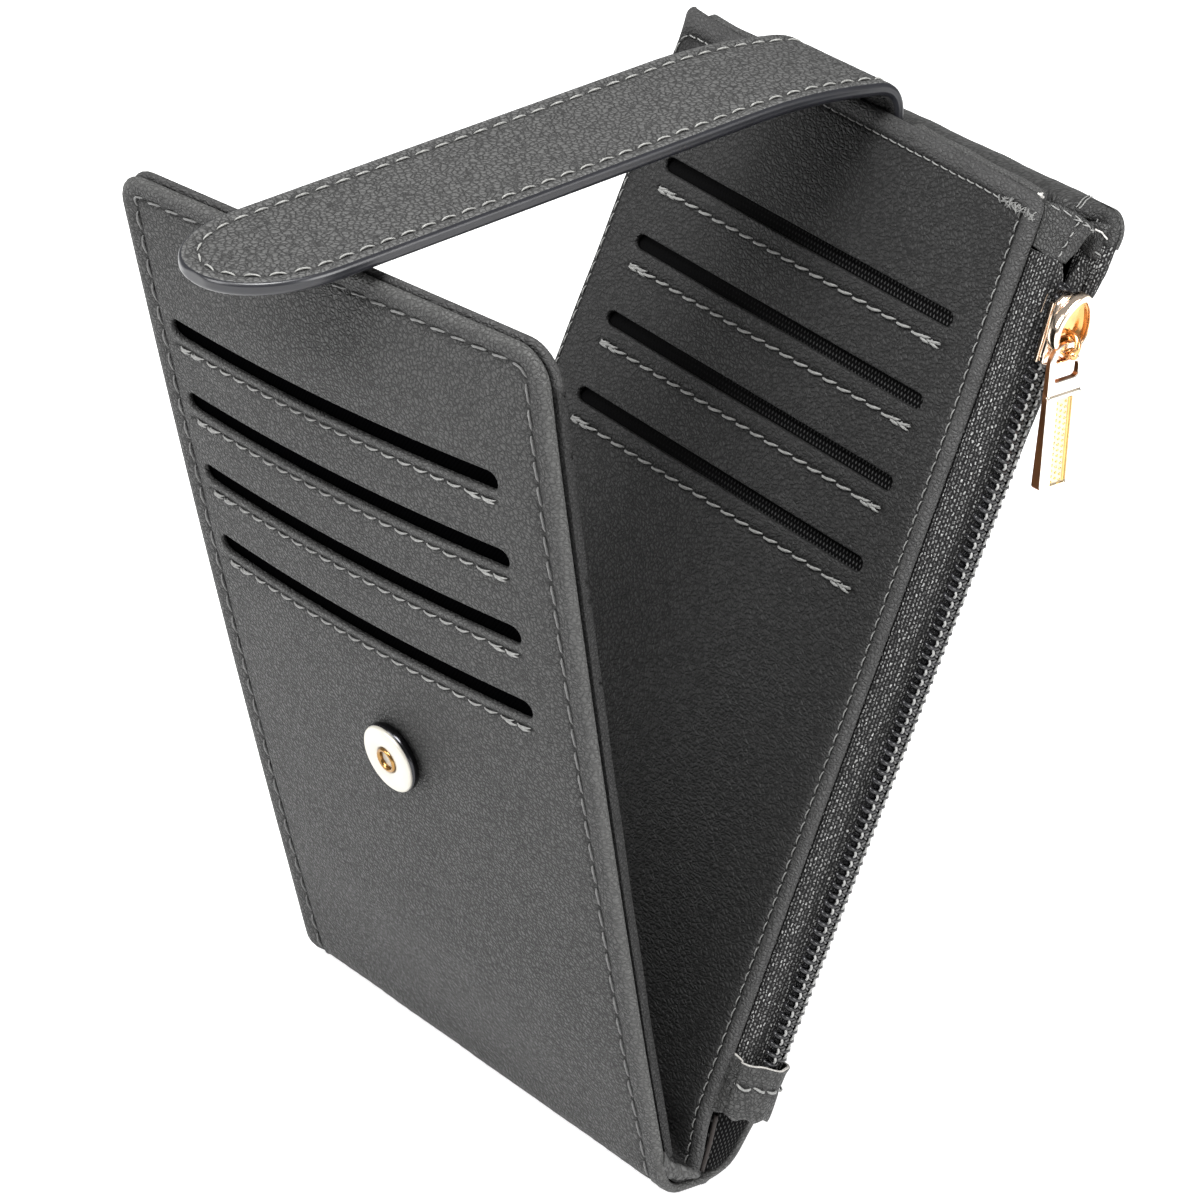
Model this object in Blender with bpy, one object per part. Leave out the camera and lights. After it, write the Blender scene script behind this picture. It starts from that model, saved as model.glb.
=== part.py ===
"""Card wallet standing open on its fold: two leather halves, card slots, zip pocket, snap and closing strap."""

import math

import bmesh
import bpy
from mathutils import Vector
from mathutils.geometry import delaunay_2d_cdt

# ---- driving dimensions, mm and radians (X across the V, Y along the fold, Z up) ----
SPINE_W = 17.9  # closed thickness of the wallet
HALF_W = 55.0  # half the panel width
LEAN = 0.3063  # lean of each half from the vertical
TWIST = 0.0253  # extra lean at the far side edge
SKEW = -0.0243  # in-plane skew of the back half
BACK_L = 191.7  # back inner panel
COVER_L = 192.7
FRONT_L = 182.1
BACK_T = 13.88  # cover face to inner face
BULGE = 2.92  # crown of the front half
BOW = 1.08
FADE = 25.0
SLOT_HALF = 43.53  # half the length of a card slot
SLOT_H = 2.8
SLOT_STEP = 15.69
BACK_SLOT_U, BACK_SLOT_V = 164.42, 1.02
FRONT_SLOT_U, FRONT_SLOT_V = 151.84, 3.81
SNAP_U, SNAP_V, SNAP_R = 77.94, 1.03, 6.67
SKIN = 1.2
STRAP_Y0, STRAP_Y1, STRAP_T = -13.5, 16.5, 2.4
BEND_TOP, BEND_FOOT = (48.0, 193.6), (57.35, 185.6)  # (x, z) of the bend's two ends on the strap's top surface
BEND_POWER = 0.82
ARM_SLOPE, ARM_Z, ARM_X = 0.168, 174.7, -83.0  # the arm falls towards the tip
ARM_CURVE, ARM_CURVE_X = 0.004, 20.0  # and levels off near the bend
STRAP_TIP_X = -88.4
STUD_X = -73.9
# zip chain: side offset of the tape face at two stations along the half
ZIP_A, ZIP_B = (20.0, -56.3), (175.0, -59.8)
ZIP_W = -7.2  # middle of the chain through the thickness
SLIDER_L0, SLIDER_L1 = 164.0, 177.5

MM = 0.001


def back(u, v, w):
    c, s = math.cos(SKEW), math.sin(SKEW)
    u, v = u * c - v * s, u * s + v * c
    t = LEAN + TWIST * v / HALF_W
    return Vector((SPINE_W / 2 + u * math.sin(t) + w * math.cos(t), v, u * math.cos(t) - w * math.sin(t)))


def crown(u, v):
    g = min(max((FRONT_L - u) / FADE, 0.0), 1.0)
    g = g * g * (3 - 2 * g)
    h = min(max((u - 4.0) / 34.0, 0.0), 1.0)
    g *= h * h * (3 - 2 * h)
    return BULGE * (1 - (v / HALF_W) ** 2) * g + BOW * 4 * (u / FRONT_L) * (1 - u / FRONT_L)


def front(u, v, w):
    t = LEAN + TWIST * v / HALF_W
    k = w + crown(u, v)
    return Vector((-SPINE_W / 2 - u * math.sin(t) - k * math.cos(t), v, u * math.cos(t) - k * math.sin(t)))


def zip_v(u):
    return ZIP_A[1] + (ZIP_B[1] - ZIP_A[1]) * (u - ZIP_A[0]) / (ZIP_B[0] - ZIP_A[0])


ZP0 = back(ZIP_A[0], ZIP_A[1], ZIP_W)
ZP1 = back(ZIP_B[0], ZIP_B[1], ZIP_W)
Z_LONG = (ZP1 - ZP0).normalized()
_n = (back(100, -58, 0) - back(100, -58, -1)).normalized()
Z_OUT = _n.cross(Z_LONG).normalized()
if Z_OUT.y > 0:
    Z_OUT = -Z_OUT
Z_ACROSS = Z_LONG.cross(Z_OUT)
if Z_ACROSS.dot(_n) < 0:
    Z_ACROSS = -Z_ACROSS


def zipf(l, o, w):
    """Zip frame: l along the chain, o outwards from the tape's face, w across with 0 at the middle of the chain."""
    return ZP0 + Z_LONG * (l - ZIP_A[0]) + Z_OUT * o + Z_ACROSS * w


for _o in list(bpy.data.objects):
    bpy.data.objects.remove(_o, do_unlink=True)

MATERIALS = {}


def material(name, colour, rough, metal=0.0):
    m = bpy.data.materials.new(name)
    m.use_nodes = True
    p = m.node_tree.nodes["Principled BSDF"]
    p.inputs["Base Color"].default_value = (*colour, 1.0)
    p.inputs["Roughness"].default_value = rough
    p.inputs["Metallic"].default_value = metal
    m.diffuse_color = (*colour, 1.0)
    MATERIALS[name] = m


material("grey_leather", (0.105, 0.107, 0.112), 0.6)
material("inner_leather", (0.06, 0.061, 0.066), 0.62)
material("strap_leather", (0.17, 0.172, 0.178), 0.55)
material("black_lining", (0.012, 0.012, 0.014), 0.85)
material("woven_lining", (0.03, 0.03, 0.034), 0.8)
material("board", (0.3, 0.27, 0.22), 0.9)
material("zip_tape", (0.1, 0.1, 0.108), 0.85)
material("zip_coil", (0.08, 0.08, 0.088), 0.4)
material("gold", (0.85, 0.68, 0.38), 0.25, 1.0)
material("brass", (0.62, 0.45, 0.22), 0.3, 1.0)
material("steel", (0.6, 0.6, 0.6), 0.35, 1.0)
material("gunmetal", (0.05, 0.05, 0.055), 0.25, 1.0)
material("cream", (0.86, 0.8, 0.66), 0.25)


def finish(name, bm, mat, pivot=None):
    """Turns a bmesh in mm into an object in metres, facing outwards, with its origin at pivot."""
    p = Vector(pivot) if pivot is not None else Vector((0, 0, 0))
    for v in bm.verts:
        v.co = (v.co - p) * MM
    bmesh.ops.recalc_face_normals(bm, faces=bm.faces)
    if bm.calc_volume(signed=True) < 0:
        bmesh.ops.reverse_faces(bm, faces=bm.faces)
    bmesh.ops.triangulate(bm, faces=bm.faces)
    mesh = bpy.data.meshes.new(name)
    bm.to_mesh(mesh)
    bm.free()
    mesh.materials.append(MATERIALS[mat])
    ob = bpy.data.objects.new(name, mesh)
    ob.location = p * MM
    bpy.context.scene.collection.objects.link(ob)
    return ob


def inside(p, loop):
    x, y = p
    hit = False
    n = len(loop)
    for i in range(n):
        (x0, y0), (x1, y1) = loop[i], loop[(i + 1) % n]
        if (y0 > y) != (y1 > y) and x < (x1 - x0) * (y - y0) / (y1 - y0) + x0:
            hit = not hit
    return hit


def near_loop(p, loop, far):
    x, y = p
    n = len(loop)
    for i in range(n):
        (x0, y0), (x1, y1) = loop[i], loop[(i + 1) % n]
        dx, dy = x1 - x0, y1 - y0
        t = max(0.0, min(1.0, ((x - x0) * dx + (y - y0) * dy) / max(dx * dx + dy * dy, 1e-9)))
        if math.hypot(x - x0 - t * dx, y - y0 - t * dy) < far:
            return True
    return False


def dense(loop, step):
    out = []
    n = len(loop)
    for i in range(n):
        (x0, y0), (x1, y1) = loop[i], loop[(i + 1) % n]
        k = max(1, int(math.ceil(math.hypot(x1 - x0, y1 - y0) / step - 1e-6)))
        out += [(x0 + (x1 - x0) * j / k, y0 + (y1 - y0) * j / k) for j in range(k)]
    return out


def rounded(corners, radii, seg=5):
    """A polygon with each corner rounded: corners (u, v), radii mm."""
    out = []
    n = len(corners)
    for i in range(n):
        p, a, b = Vector(corners[i]), Vector(corners[i - 1]), Vector(corners[(i + 1) % n])
        r = radii[i]
        if r <= 0:
            out.append(tuple(p))
            continue
        d0, d1 = (a - p).normalized(), (b - p).normalized()
        half = math.acos(max(-1, min(1, d0.dot(d1)))) / 2
        back_off = r / math.tan(half)
        c = p + (d0 + d1).normalized() * (r / math.sin(half))
        s0, s1 = p + d0 * back_off, p + d1 * back_off
        a0 = math.atan2(s0.y - c.y, s0.x - c.x)
        a1 = math.atan2(s1.y - c.y, s1.x - c.x)
        while a1 - a0 > math.pi:
            a1 -= 2 * math.pi
        while a1 - a0 < -math.pi:
            a1 += 2 * math.pi
        out += [(c.x + r * math.cos(a0 + (a1 - a0) * j / seg), c.y + r * math.sin(a0 + (a1 - a0) * j / seg)) for j in range(seg + 1)]
    return out


def stadium(u, v, half, height, seg=5):
    """A card slot: long along v, round ended."""
    r = height / 2
    k = half - r
    pts = [(u + r * math.cos(t), v + k + r * math.sin(t)) for t in [math.pi * j / seg for j in range(seg + 1)]]
    pts += [(u - r * math.cos(t), v - k - r * math.sin(t)) for t in [math.pi * j / seg for j in range(seg + 1)]]
    return pts


def circle2(u, v, r, n=24):
    return [(u + r * math.cos(2 * math.pi * j / n), v + r * math.sin(2 * math.pi * j / n)) for j in range(n)]


STEP_U, STEP_V = 22.0, 13.75


def plate(name, outline, holes, w0, w1, place, mat, lines_u=(), step=None, pivot=None):
    """A layer of constant thickness between offsets w0 and w1 on the surface that place(u, v, w) gives."""
    outer = dense(outline, step) if step else list(outline)
    loops = [outer] + [dense(h, step) if step else list(h) for h in holes]
    pts, edges = [], []
    for loop in loops:
        k = len(pts)
        pts += [Vector(p) for p in loop]
        edges += [(k + i, k + (i + 1) % len(loop)) for i in range(len(loop))]
    for u in lines_u:
        v = -HALF_W - STEP_V
        while v < HALF_W + STEP_V + 1:
            q = (u, v)
            clear = inside(q, outer) and not any(near_loop(q, lp, 2.0) for lp in loops)
            if clear and not any(inside(q, h) for h in holes):
                pts.append(Vector(q))
            v += STEP_V
    flat, _, tris, *_ = delaunay_2d_cdt(pts, edges, [], 0, 1e-5)
    bm = bmesh.new()
    tag = bm.verts.layers.int.new("index")
    verts = []
    for i, p in enumerate(flat):
        verts.append(bm.verts.new(place(p.x, p.y, w0)))
        verts[-1][tag] = i
    for f in tris:
        c = (sum(flat[i].x for i in f) / 3, sum(flat[i].y for i in f) / 3)
        if inside(c, outer) and not any(inside(c, h) for h in loops[1:]):
            bm.faces.new([verts[i] for i in f])
    bmesh.ops.delete(bm, geom=[v for v in bm.verts if not v.link_faces], context="VERTS")
    up = bmesh.ops.extrude_face_region(bm, geom=bm.faces[:])["geom"]
    for v in up:
        if isinstance(v, bmesh.types.BMVert):
            p = flat[v[tag]]
            v.co = place(p.x, p.y, w1)
    return finish(name, bm, mat, pivot)


BACK_LINES = [k * STEP_U for k in range(1, 10)]


def sheet(name, outline, holes, w0, w1, place, mat, lines_u=None):
    return plate(name, outline, holes, w0, w1, place, mat, BACK_LINES if lines_u is None else lines_u, STEP_V)


def loft(name, sections, mat, pivot=None):
    """A solid through equal-sized closed sections, bridged one to the next and capped at both ends."""
    bm = bmesh.new()
    rings = [[bm.verts.new(p) for p in s] for s in sections]
    m = len(rings[0])
    for a, b in zip(rings, rings[1:]):
        for i in range(m):
            j = (i + 1) % m
            bm.faces.new((a[i], a[j], b[j], b[i]))
    bm.faces.new(rings[0])
    bm.faces.new(rings[-1][::-1])
    return finish(name, bm, mat, pivot)


def ribbon(path, thick):
    """Closed section in 2D: the path and its copy offset by thick on its left."""
    off = []
    n = len(path)
    for i, p in enumerate(path):
        a = Vector(path[max(i - 1, 0)])
        b = Vector(path[min(i + 1, n - 1)])
        d = (b - a).normalized()
        off.append((p[0] - d.y * thick, p[1] + d.x * thick))
    return list(path) + off[::-1]


def lathe(name, profile, origin, ax, mat, n=24, pivot=None):
    """Solid of revolution: profile of (r, h), closed on itself or ending on the axis; ax is the direction of h."""
    ax = Vector(ax).normalized()
    side = ax.orthogonal().normalized()
    bm = bmesh.new()
    ring = [bm.verts.new(Vector(origin) + side * r + ax * h) for r, h in profile]
    edges = [bm.edges.new((p, q)) for p, q in zip(ring, ring[1:])]
    if profile[0][0] > 1e-6:
        edges.append(bm.edges.new((ring[-1], ring[0])))
    bmesh.ops.spin(bm, geom=ring + edges, cent=Vector(origin), axis=ax, angle=2 * math.pi, steps=n, use_merge=True)
    bmesh.ops.remove_doubles(bm, verts=bm.verts, dist=1e-4)
    return finish(name, bm, mat, pivot)


# ---------------------------------------------------------------- spine
SIN, COS = math.sin(LEAN), math.cos(LEAN)


def leg(side, u, w):
    """A point of the fold's section beside the back (+1) or front (-1) half."""
    return (side * (SPINE_W / 2 + u * SIN + w * COS), u * COS - w * SIN)


outer_path = [leg(-1, 4.5, 0), leg(-1, 2.6, 0), (-9.2, 0.7), (-8.4, 0.0), (8.4, 0.0), (9.2, 0.7), leg(1, 2.6, 0), leg(1, 4.5, 0)]
inner_path = [leg(-1, 4.5, -SKIN), leg(-1, 2.6, -SKIN), (-8.0, 1.6), (-7.6, 1.2), (7.6, 1.2), (8.0, 1.6), leg(1, 2.6, -SKIN), leg(1, 4.5, -SKIN)]
spine_section = outer_path + inner_path[::-1]
loft("spine_leather", [[Vector((x, y, z)) for x, z in spine_section] for y in (-HALF_W, HALF_W)], "grey_leather")


def block(name, x0, x1, y0, y1, z0, z1, mat):
    s = [(x0, z0), (x1, z0), (x1, z1), (x0, z1)]
    return loft(name, [[Vector((x, y, z)) for x, z in s] for y in (y0, y1)], mat)


block("spine_stiffener", -6.8, 6.8, -50, 50, 1.5, 2.2, "board")
block("spine_lining", -6.4, 6.4, -53, 53, 2.5, 3.0, "inner_leather")

# ---------------------------------------------------------------- back half
back_slots = [BACK_SLOT_U - i * SLOT_STEP for i in range(4)]
cover_outline = rounded([(5.0 + math.sin(SKEW) * (-HALF_W - 1.5), -HALF_W - 1.5), (5.0 + math.sin(SKEW) * HALF_W, HALF_W), (COVER_L, HALF_W), (COVER_L, -61.2), (150, -60.4)], [0.5, 1.0, 8.0, 5.0, 0])
sheet("back_cover", cover_outline, [], -SKIN, 0.0, back, "grey_leather")
board_outline = rounded([(8, -50), (8, 50), (184, 50), (184, -50)], [4, 4, 6, 6])
sheet("back_stiffener", board_outline, [], -2.6, -1.6, back, "board")
lining_outline = rounded([(10, -49), (10, 51), (187, 51), (187, -49)], [4, 4, 6, 6])
sheet("pocket_lining_outer", lining_outline, [], -3.4, -3.0, back, "black_lining")
sheet("pocket_lining_inner", lining_outline, [], -8.7, -8.3, back, "black_lining")
divider_outline = rounded([(12, -48.5), (12, 52), (190.3, 52), (190.3, -48.5)], [4, 4, 6, 6])
sheet("pocket_divider", divider_outline, [], -9.5, -9.0, back, "inner_leather")
for i, u in enumerate(back_slots):
    low = u - 12.0
    ring = rounded([(low, BACK_SLOT_V - 46.5), (low, BACK_SLOT_V + 46.5), (u + 3.2, BACK_SLOT_V + 46.5), (u + 3.2, BACK_SLOT_V - 46.5)], [2, 2, 2, 2], 3)
    sheet(f"card_lining_back_{i + 1}", ring, [], -12.4, -11.9, back, "woven_lining")
inner_outline = rounded([(8, -HALF_W), (8, HALF_W), (BACK_L, HALF_W), (BACK_L, -HALF_W)], [2, 4, 7, 4])
sheet("back_inner_skin", inner_outline, [stadium(u, BACK_SLOT_V, SLOT_HALF, SLOT_H) for u in back_slots], -BACK_T, -12.7, back, "inner_leather")

# strap tail, sewn between the divider and the inner skin
tail_outline = [(176, STRAP_Y0 + 4.4), (176, STRAP_Y1 + 4.4), (190.1, STRAP_Y1 + 4.4), (190.1, STRAP_Y0 + 4.4)]
sheet("strap_tail", tail_outline, [], -12.2, -9.8, back, "strap_leather")

# zip: two tapes, two coils, end tab, facing at the open end
stations = [16, 40, 64, 88, 112, 136, 160, 186]


def tape(name, points):
    """points(vz) gives the section path as (v, w) from the panel to the chain."""
    sections = []
    for u in stations:
        sections.append([back(u, v, w) for v, w in ribbon(points(zip_v(u)), 0.5)])
    loft(name, sections, "zip_tape")


tape("zip_tape_inner", lambda z: [(-50.0, -11.9), (-53.5, -11.9), (z + 2.0, -11.4), (z + 0.8, -10.4), (z + 0.55, -9.8), (z + 0.55, -7.75)])
tape("zip_tape_outer", lambda z: [(z + 0.55, -6.65), (z + 0.55, -4.5), (z + 0.8, -3.6), (z + 2.0, -2.7), (-53.5, -2.3), (-50.8, -2.3)])


def bar(name, l0, l1, o0, o1, w0, w1, mat, chamfer=0.35):
    s = rounded([(o0, w0), (o1, w0), (o1, w1), (o0, w1)], [0.05, chamfer, chamfer, 0.05], 2)
    loft(name, [[zipf(l, o, w) for o, w in s] for l in (l0, l1)], mat)


bar("zip_coil_inner", 28.5, 181.0, 0.3, 1.5, -2.2, -0.4, "zip_coil")
bar("zip_coil_outer", 28.5, 181.0, 0.3, 1.5, 0.4, 2.2, "zip_coil")

tab_path = [(-0.7, -5.6), (0.2, -6.5), (1.3, -6.1), (1.9, -4.6), (2.1, 0.0), (1.9, 3.9), (1.3, 5.1), (0.2, 5.5), (-0.7, 5.1)]
tab_section = ribbon(tab_path, 0.8)
loft("zip_end_tab", [[zipf(l, o, w) for o, w in tab_section] for l in (15.5, 27.6)], "grey_leather")

facing_in = ribbon([(-51.5, -11.4), (-55.0, -11.1), (-57.8, -10.4)], 0.5)
loft("zip_facing_inner", [[back(u, v, w) for v, w in facing_in] for u in (186.6, 189.8)], "inner_leather")
facing_out = ribbon([(-58.6, -3.6), (-56.0, -2.9), (-52.0, -2.6)], 0.6)
loft("zip_facing_outer", [[back(u, v, w) for v, w in facing_out] for u in (186.6, 190.8)], "grey_leather")

# ---------------------------------------------------------------- front half
front_slots = [FRONT_SLOT_U - i * SLOT_STEP for i in range(4)]
FRONT_LINES = [10, 16, 22, 29, 36, 50, 66, 88, 110, 132, 146, 157, 161, 165, 169, 173, 177]
front_outline = rounded([(4.9, -HALF_W), (4.9, HALF_W), (FRONT_L, HALF_W), (FRONT_L, -HALF_W)], [1, 1, 7, 7])
front_holes = [stadium(u, FRONT_SLOT_V, SLOT_HALF, SLOT_H) for u in front_slots] + [circle2(SNAP_U, SNAP_V, 2.0, 16)]
sheet("front_outer_skin", front_outline, front_holes, -1.0, 0.0, front, "grey_leather", FRONT_LINES)
for i, u in enumerate(front_slots):
    low = u - 12.0
    ring = rounded([(low, FRONT_SLOT_V - 46.5), (low, FRONT_SLOT_V + 46.5), (u + 3.2, FRONT_SLOT_V + 46.5), (u + 3.2, FRONT_SLOT_V - 46.5)], [2, 2, 2, 2], 3)
    sheet(f"card_lining_front_{i + 1}", ring, [], -1.85, -1.35, front, "black_lining", FRONT_LINES)
front_in_outline = rounded([(9, -54.3), (9, 54.3), (181.0, 54.3), (181.0, -54.3)], [2, 2, 7, 7])
sheet("front_inner_skin", front_in_outline, [], -3.3, -2.2, front, "inner_leather", FRONT_LINES)

snap_n = (front(SNAP_U, SNAP_V, 1) - front(SNAP_U, SNAP_V, 0)).normalized()
snap_o = front(SNAP_U, SNAP_V, 0)
lathe("snap_rim", [(2.9, 0.35), (6.45, 0.35), (6.75, 0.8), (6.75, 1.6), (6.4, 2.0), (5.9, 2.0), (5.9, 1.5), (2.9, 1.5)], snap_o, snap_n, "gunmetal")
lathe("snap_face", [(2.9, 1.85), (5.6, 1.85), (5.6, 2.3), (6.3, 2.35), (6.2, 2.75), (5.2, 3.0), (2.9, 2.95)], snap_o, snap_n, "cream")
lathe("snap_socket", [(0.0, -0.7), (1.6, -0.7), (1.6, 0.2), (2.55, 0.3), (2.55, 2.9), (2.15, 2.9), (1.95, 1.2), (0.0, 1.0)], snap_o, snap_n, "brass")
lathe("snap_washer", [(0.0, -1.9), (4.6, -1.9), (4.6, -1.4), (0.0, -1.4)], snap_o, snap_n, "steel")

# ---------------------------------------------------------------- closing strap
PIVOT = Vector((53.2, 0.0, 187.2))


def strap_layer(path, top, bottom):
    """Section of a layer between depths top and bottom under the strap's top surface."""
    up, down = [], []
    n = len(path)
    for i, p in enumerate(path):
        a, b = Vector(path[max(i - 1, 0)]), Vector(path[min(i + 1, n - 1)])
        d = (b - a).normalized()
        nrm = Vector((-d.y, d.x))
        up.append((p[0] + nrm.x * top, p[1] + nrm.y * top))
        down.append((p[0] + nrm.x * bottom, p[1] + nrm.y * bottom))
    return up + down[::-1]


bend_path = []
for k in range(9):
    t = math.pi / 2 * k / 8
    bend_path.append((BEND_TOP[0] + (BEND_FOOT[0] - BEND_TOP[0]) * math.cos(t) ** BEND_POWER, BEND_FOOT[1] + (BEND_TOP[1] - BEND_FOOT[1]) * math.sin(t) ** BEND_POWER))
bend_section = strap_layer(bend_path, 0.0, STRAP_T)
bend_fade = [math.cos(math.pi / 2 * k / 8) for k in range(9)]
bend_fade = bend_fade + bend_fade[::-1]
loft("strap_bend", [[Vector((x + 0.091 * y * g, y, z)) for (x, z), g in zip(bend_section, bend_fade)] for y in (STRAP_Y0, STRAP_Y1)], "strap_leather", PIVOT)


def arm_height(x):
    return ARM_Z + ARM_SLOPE * (x - ARM_X) - ARM_CURVE * max(0.0, x - ARM_CURVE_X) ** 2


def strap_place(x, y, w):
    k = (arm_height(x + 0.5) - arm_height(x - 0.5)) / 1.0
    g = math.hypot(1.0, k)
    return Vector((x - k / g * w, y, arm_height(x) + w / g))


def strap_sheet(name, top, bottom, mat, holes=()):
    """A layer of the arm, round at its tip, between two depths under the top surface."""
    xs = [47.6, 40.0, 32.0, 24.0, 16.0]
    outline = rounded([(47.6, STRAP_Y0), (47.6, STRAP_Y1), (STRAP_TIP_X, STRAP_Y1), (STRAP_TIP_X, STRAP_Y0)], [0, 0, 13.0, 13.0], 8)
    plate(name, outline, list(holes), -bottom, -top, strap_place, mat, xs[1:], 8.0, PIVOT)


stud_mid = (STRAP_Y0 + STRAP_Y1) / 2
strap_sheet("strap_top", 0.0, 1.1, "strap_leather")
strap_sheet("strap_lining", 1.4, STRAP_T, "strap_leather", [circle2(STUD_X, stud_mid, 2.2, 16)])
stud_o = strap_place(STUD_X, stud_mid, -2.4)
stud_n = (strap_place(STUD_X, stud_mid, -2.4) - strap_place(STUD_X, stud_mid, 0.0)).normalized()
lathe("strap_stud", [(0.0, -0.6), (1.8, -0.6), (1.8, 0.25), (5.0, 0.3), (5.0, 0.9), (2.2, 1.0), (2.0, 2.2), (1.6, 2.8), (0.0, 2.9)], stud_o, stud_n, "gunmetal", pivot=PIVOT)

# ---------------------------------------------------------------- zip slider and pull
LM = (SLIDER_L0 + SLIDER_L1) / 2


def zip_prism(name, outline, o0, o1):
    return plate(name, outline, [], o0, o1, lambda l, w, o: zipf(l, o, w), "gold", pivot=zipf(LM, 0, 0))


wings = [(SLIDER_L0, 2.6), (SLIDER_L0 + 5.5, 3.3), (SLIDER_L1 - 2.2, 4.0), (SLIDER_L1, 2.7)]
slider_top = [(l, -w) for l, w in wings] + [(SLIDER_L1 + 0.2, 0.0)] + wings[::-1]
divider = [(SLIDER_L1 - 4.6, 0.0), (SLIDER_L1 - 2.2, -0.19), (SLIDER_L1 + 0.1, 0.0), (SLIDER_L1 - 2.2, 0.19)]
slider = zip_prism("slider_body", slider_top, 1.9, 3.2)
for cutter in (zip_prism("slider_under", [(l, w * 0.7) for l, w in slider_top], -2.1, -1.1), zip_prism("slider_divider", divider, -1.3, 2.1)):
    cutter.hide_render = True
    cutter.display_type = "WIRE"
    join = slider.modifiers.new("join_" + cutter.name, "BOOLEAN")
    join.operation = "UNION"
    join.solver = "EXACT"
    join.object = cutter

bail_outer = [(165.2, 3.5), (175.4, 3.5), (175.4, 6.0), (174.6, 7.2), (173.2, 7.7), (167.4, 7.7), (166.0, 7.2), (165.2, 6.0)]
bail_hole = [(166.6, 4.2), (174.0, 4.2), (174.0, 5.8), (173.2, 6.4), (167.3, 6.4), (166.6, 5.9)]
plate("slider_bail", bail_outer, [bail_hole], -0.85, 0.85, zipf, "gold", pivot=zipf(LM, 0, 0))

# pull: hangs straight down from the bail's lower end, its top bar inside the arch
PULL_C = zipf(168.1, 5.25, 0.0)  # centre of the bar inside the arch
PULL_LEN, PULL_W, PULL_T = 27.2, 8.0, 1.9


def pull_place(x, z, t):
    """x across the pull, z up from the bar's centre, t outwards through its thickness."""
    out = Vector((0.0, -1.0, 0.0))
    across = Vector((1.0, 0.0, 0.0))
    return PULL_C + across * x + Vector((0, 0, 1)) * z + out * t


top_z = 0.6
pull_outline = rounded([(-2.9, top_z), (2.9, top_z), (3.4, -5.0), (4.0, -9.0), (4.0, top_z - PULL_LEN), (-4.0, top_z - PULL_LEN), (-4.0, -9.0), (-3.4, -5.0)], [1.4, 1.4, 0, 0, 0.8, 0.8, 0, 0], 3)
eye = rounded([(-1.7, -0.6), (1.7, -0.6), (1.9, -3.8), (-1.9, -3.8)], [0.5, 0.5, 0.8, 0.8], 3)
window = rounded([(-2.4, -5.2), (2.4, -5.2), (2.4, -7.5), (-2.4, -7.5)], [0.4] * 4, 3)
plate("zip_pull", pull_outline, [eye, window], -0.6, 0.6, pull_place, "gold", pivot=PULL_C)
inlay = rounded([(-2.6, -10.2), (2.6, -10.2), (2.6, -25.3), (-2.6, -25.3)], [0.6] * 4, 3)
plate("zip_pull_inlay", inlay, [], 0.9, 1.3, pull_place, "gold", pivot=PULL_C)

# ---------------------------------------------------------------- each half's and each moving piece's empty on its axis
BODIES = {
    "back_half_axis": ((SPINE_W / 2, 0, 0), None, ("back_", "pocket_", "card_lining_back", "strap_tail", "zip_tape", "zip_coil", "zip_end", "zip_facing")),
    "front_half_axis": ((-SPINE_W / 2, 0, 0), None, ("front_", "card_lining_front", "snap_")),
    "strap_axis": (PIVOT, "back_half_axis", ("strap_bend", "strap_top", "strap_lining", "strap_stud")),
    "slider_axis": (zipf(LM, 0, 0), "back_half_axis", ("slider_",)),
    "pull_axis": (PULL_C, "slider_axis", ("zip_pull",)),
}
EMPTIES = {}
for empty_name, (where, above, starts) in BODIES.items():
    empty = bpy.data.objects.new(empty_name, None)
    bpy.context.scene.collection.objects.link(empty)
    empty.location = Vector(where) * MM
    if above:
        empty.parent = EMPTIES[above][0]
        empty.location = (Vector(where) - EMPTIES[above][1]) * MM
    EMPTIES[empty_name] = (empty, Vector(where))
    for ob in [o for o in bpy.data.objects if o.type == "MESH" and o.name.startswith(starts)]:
        ob.parent = empty
        ob.location = ob.location - Vector(where) * MM
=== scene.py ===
"""Card wallet standing open on its fold: the looks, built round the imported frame. Lengths are in mm until a mesh is made."""

import math

import bpy
import numpy as np
from mathutils import Matrix, Vector, kdtree
from mathutils.bvhtree import BVHTree
from mathutils.geometry import delaunay_2d_cdt


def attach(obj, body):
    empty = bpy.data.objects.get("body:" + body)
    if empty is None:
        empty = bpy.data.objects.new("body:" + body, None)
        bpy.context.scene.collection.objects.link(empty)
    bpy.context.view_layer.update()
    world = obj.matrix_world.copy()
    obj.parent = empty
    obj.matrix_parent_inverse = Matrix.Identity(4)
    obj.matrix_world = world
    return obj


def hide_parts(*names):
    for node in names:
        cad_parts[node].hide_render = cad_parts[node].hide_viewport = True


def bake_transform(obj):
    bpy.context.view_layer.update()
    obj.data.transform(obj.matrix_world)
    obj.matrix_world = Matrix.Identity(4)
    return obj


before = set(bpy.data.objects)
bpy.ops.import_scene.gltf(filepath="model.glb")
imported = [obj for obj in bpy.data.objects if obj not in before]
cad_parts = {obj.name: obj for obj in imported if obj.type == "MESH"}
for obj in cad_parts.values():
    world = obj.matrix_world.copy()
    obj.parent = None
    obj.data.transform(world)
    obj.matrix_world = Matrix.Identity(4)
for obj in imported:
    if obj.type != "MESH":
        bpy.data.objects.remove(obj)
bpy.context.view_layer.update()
scene = bpy.context.scene
MM = 0.001
PI = math.pi

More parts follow.
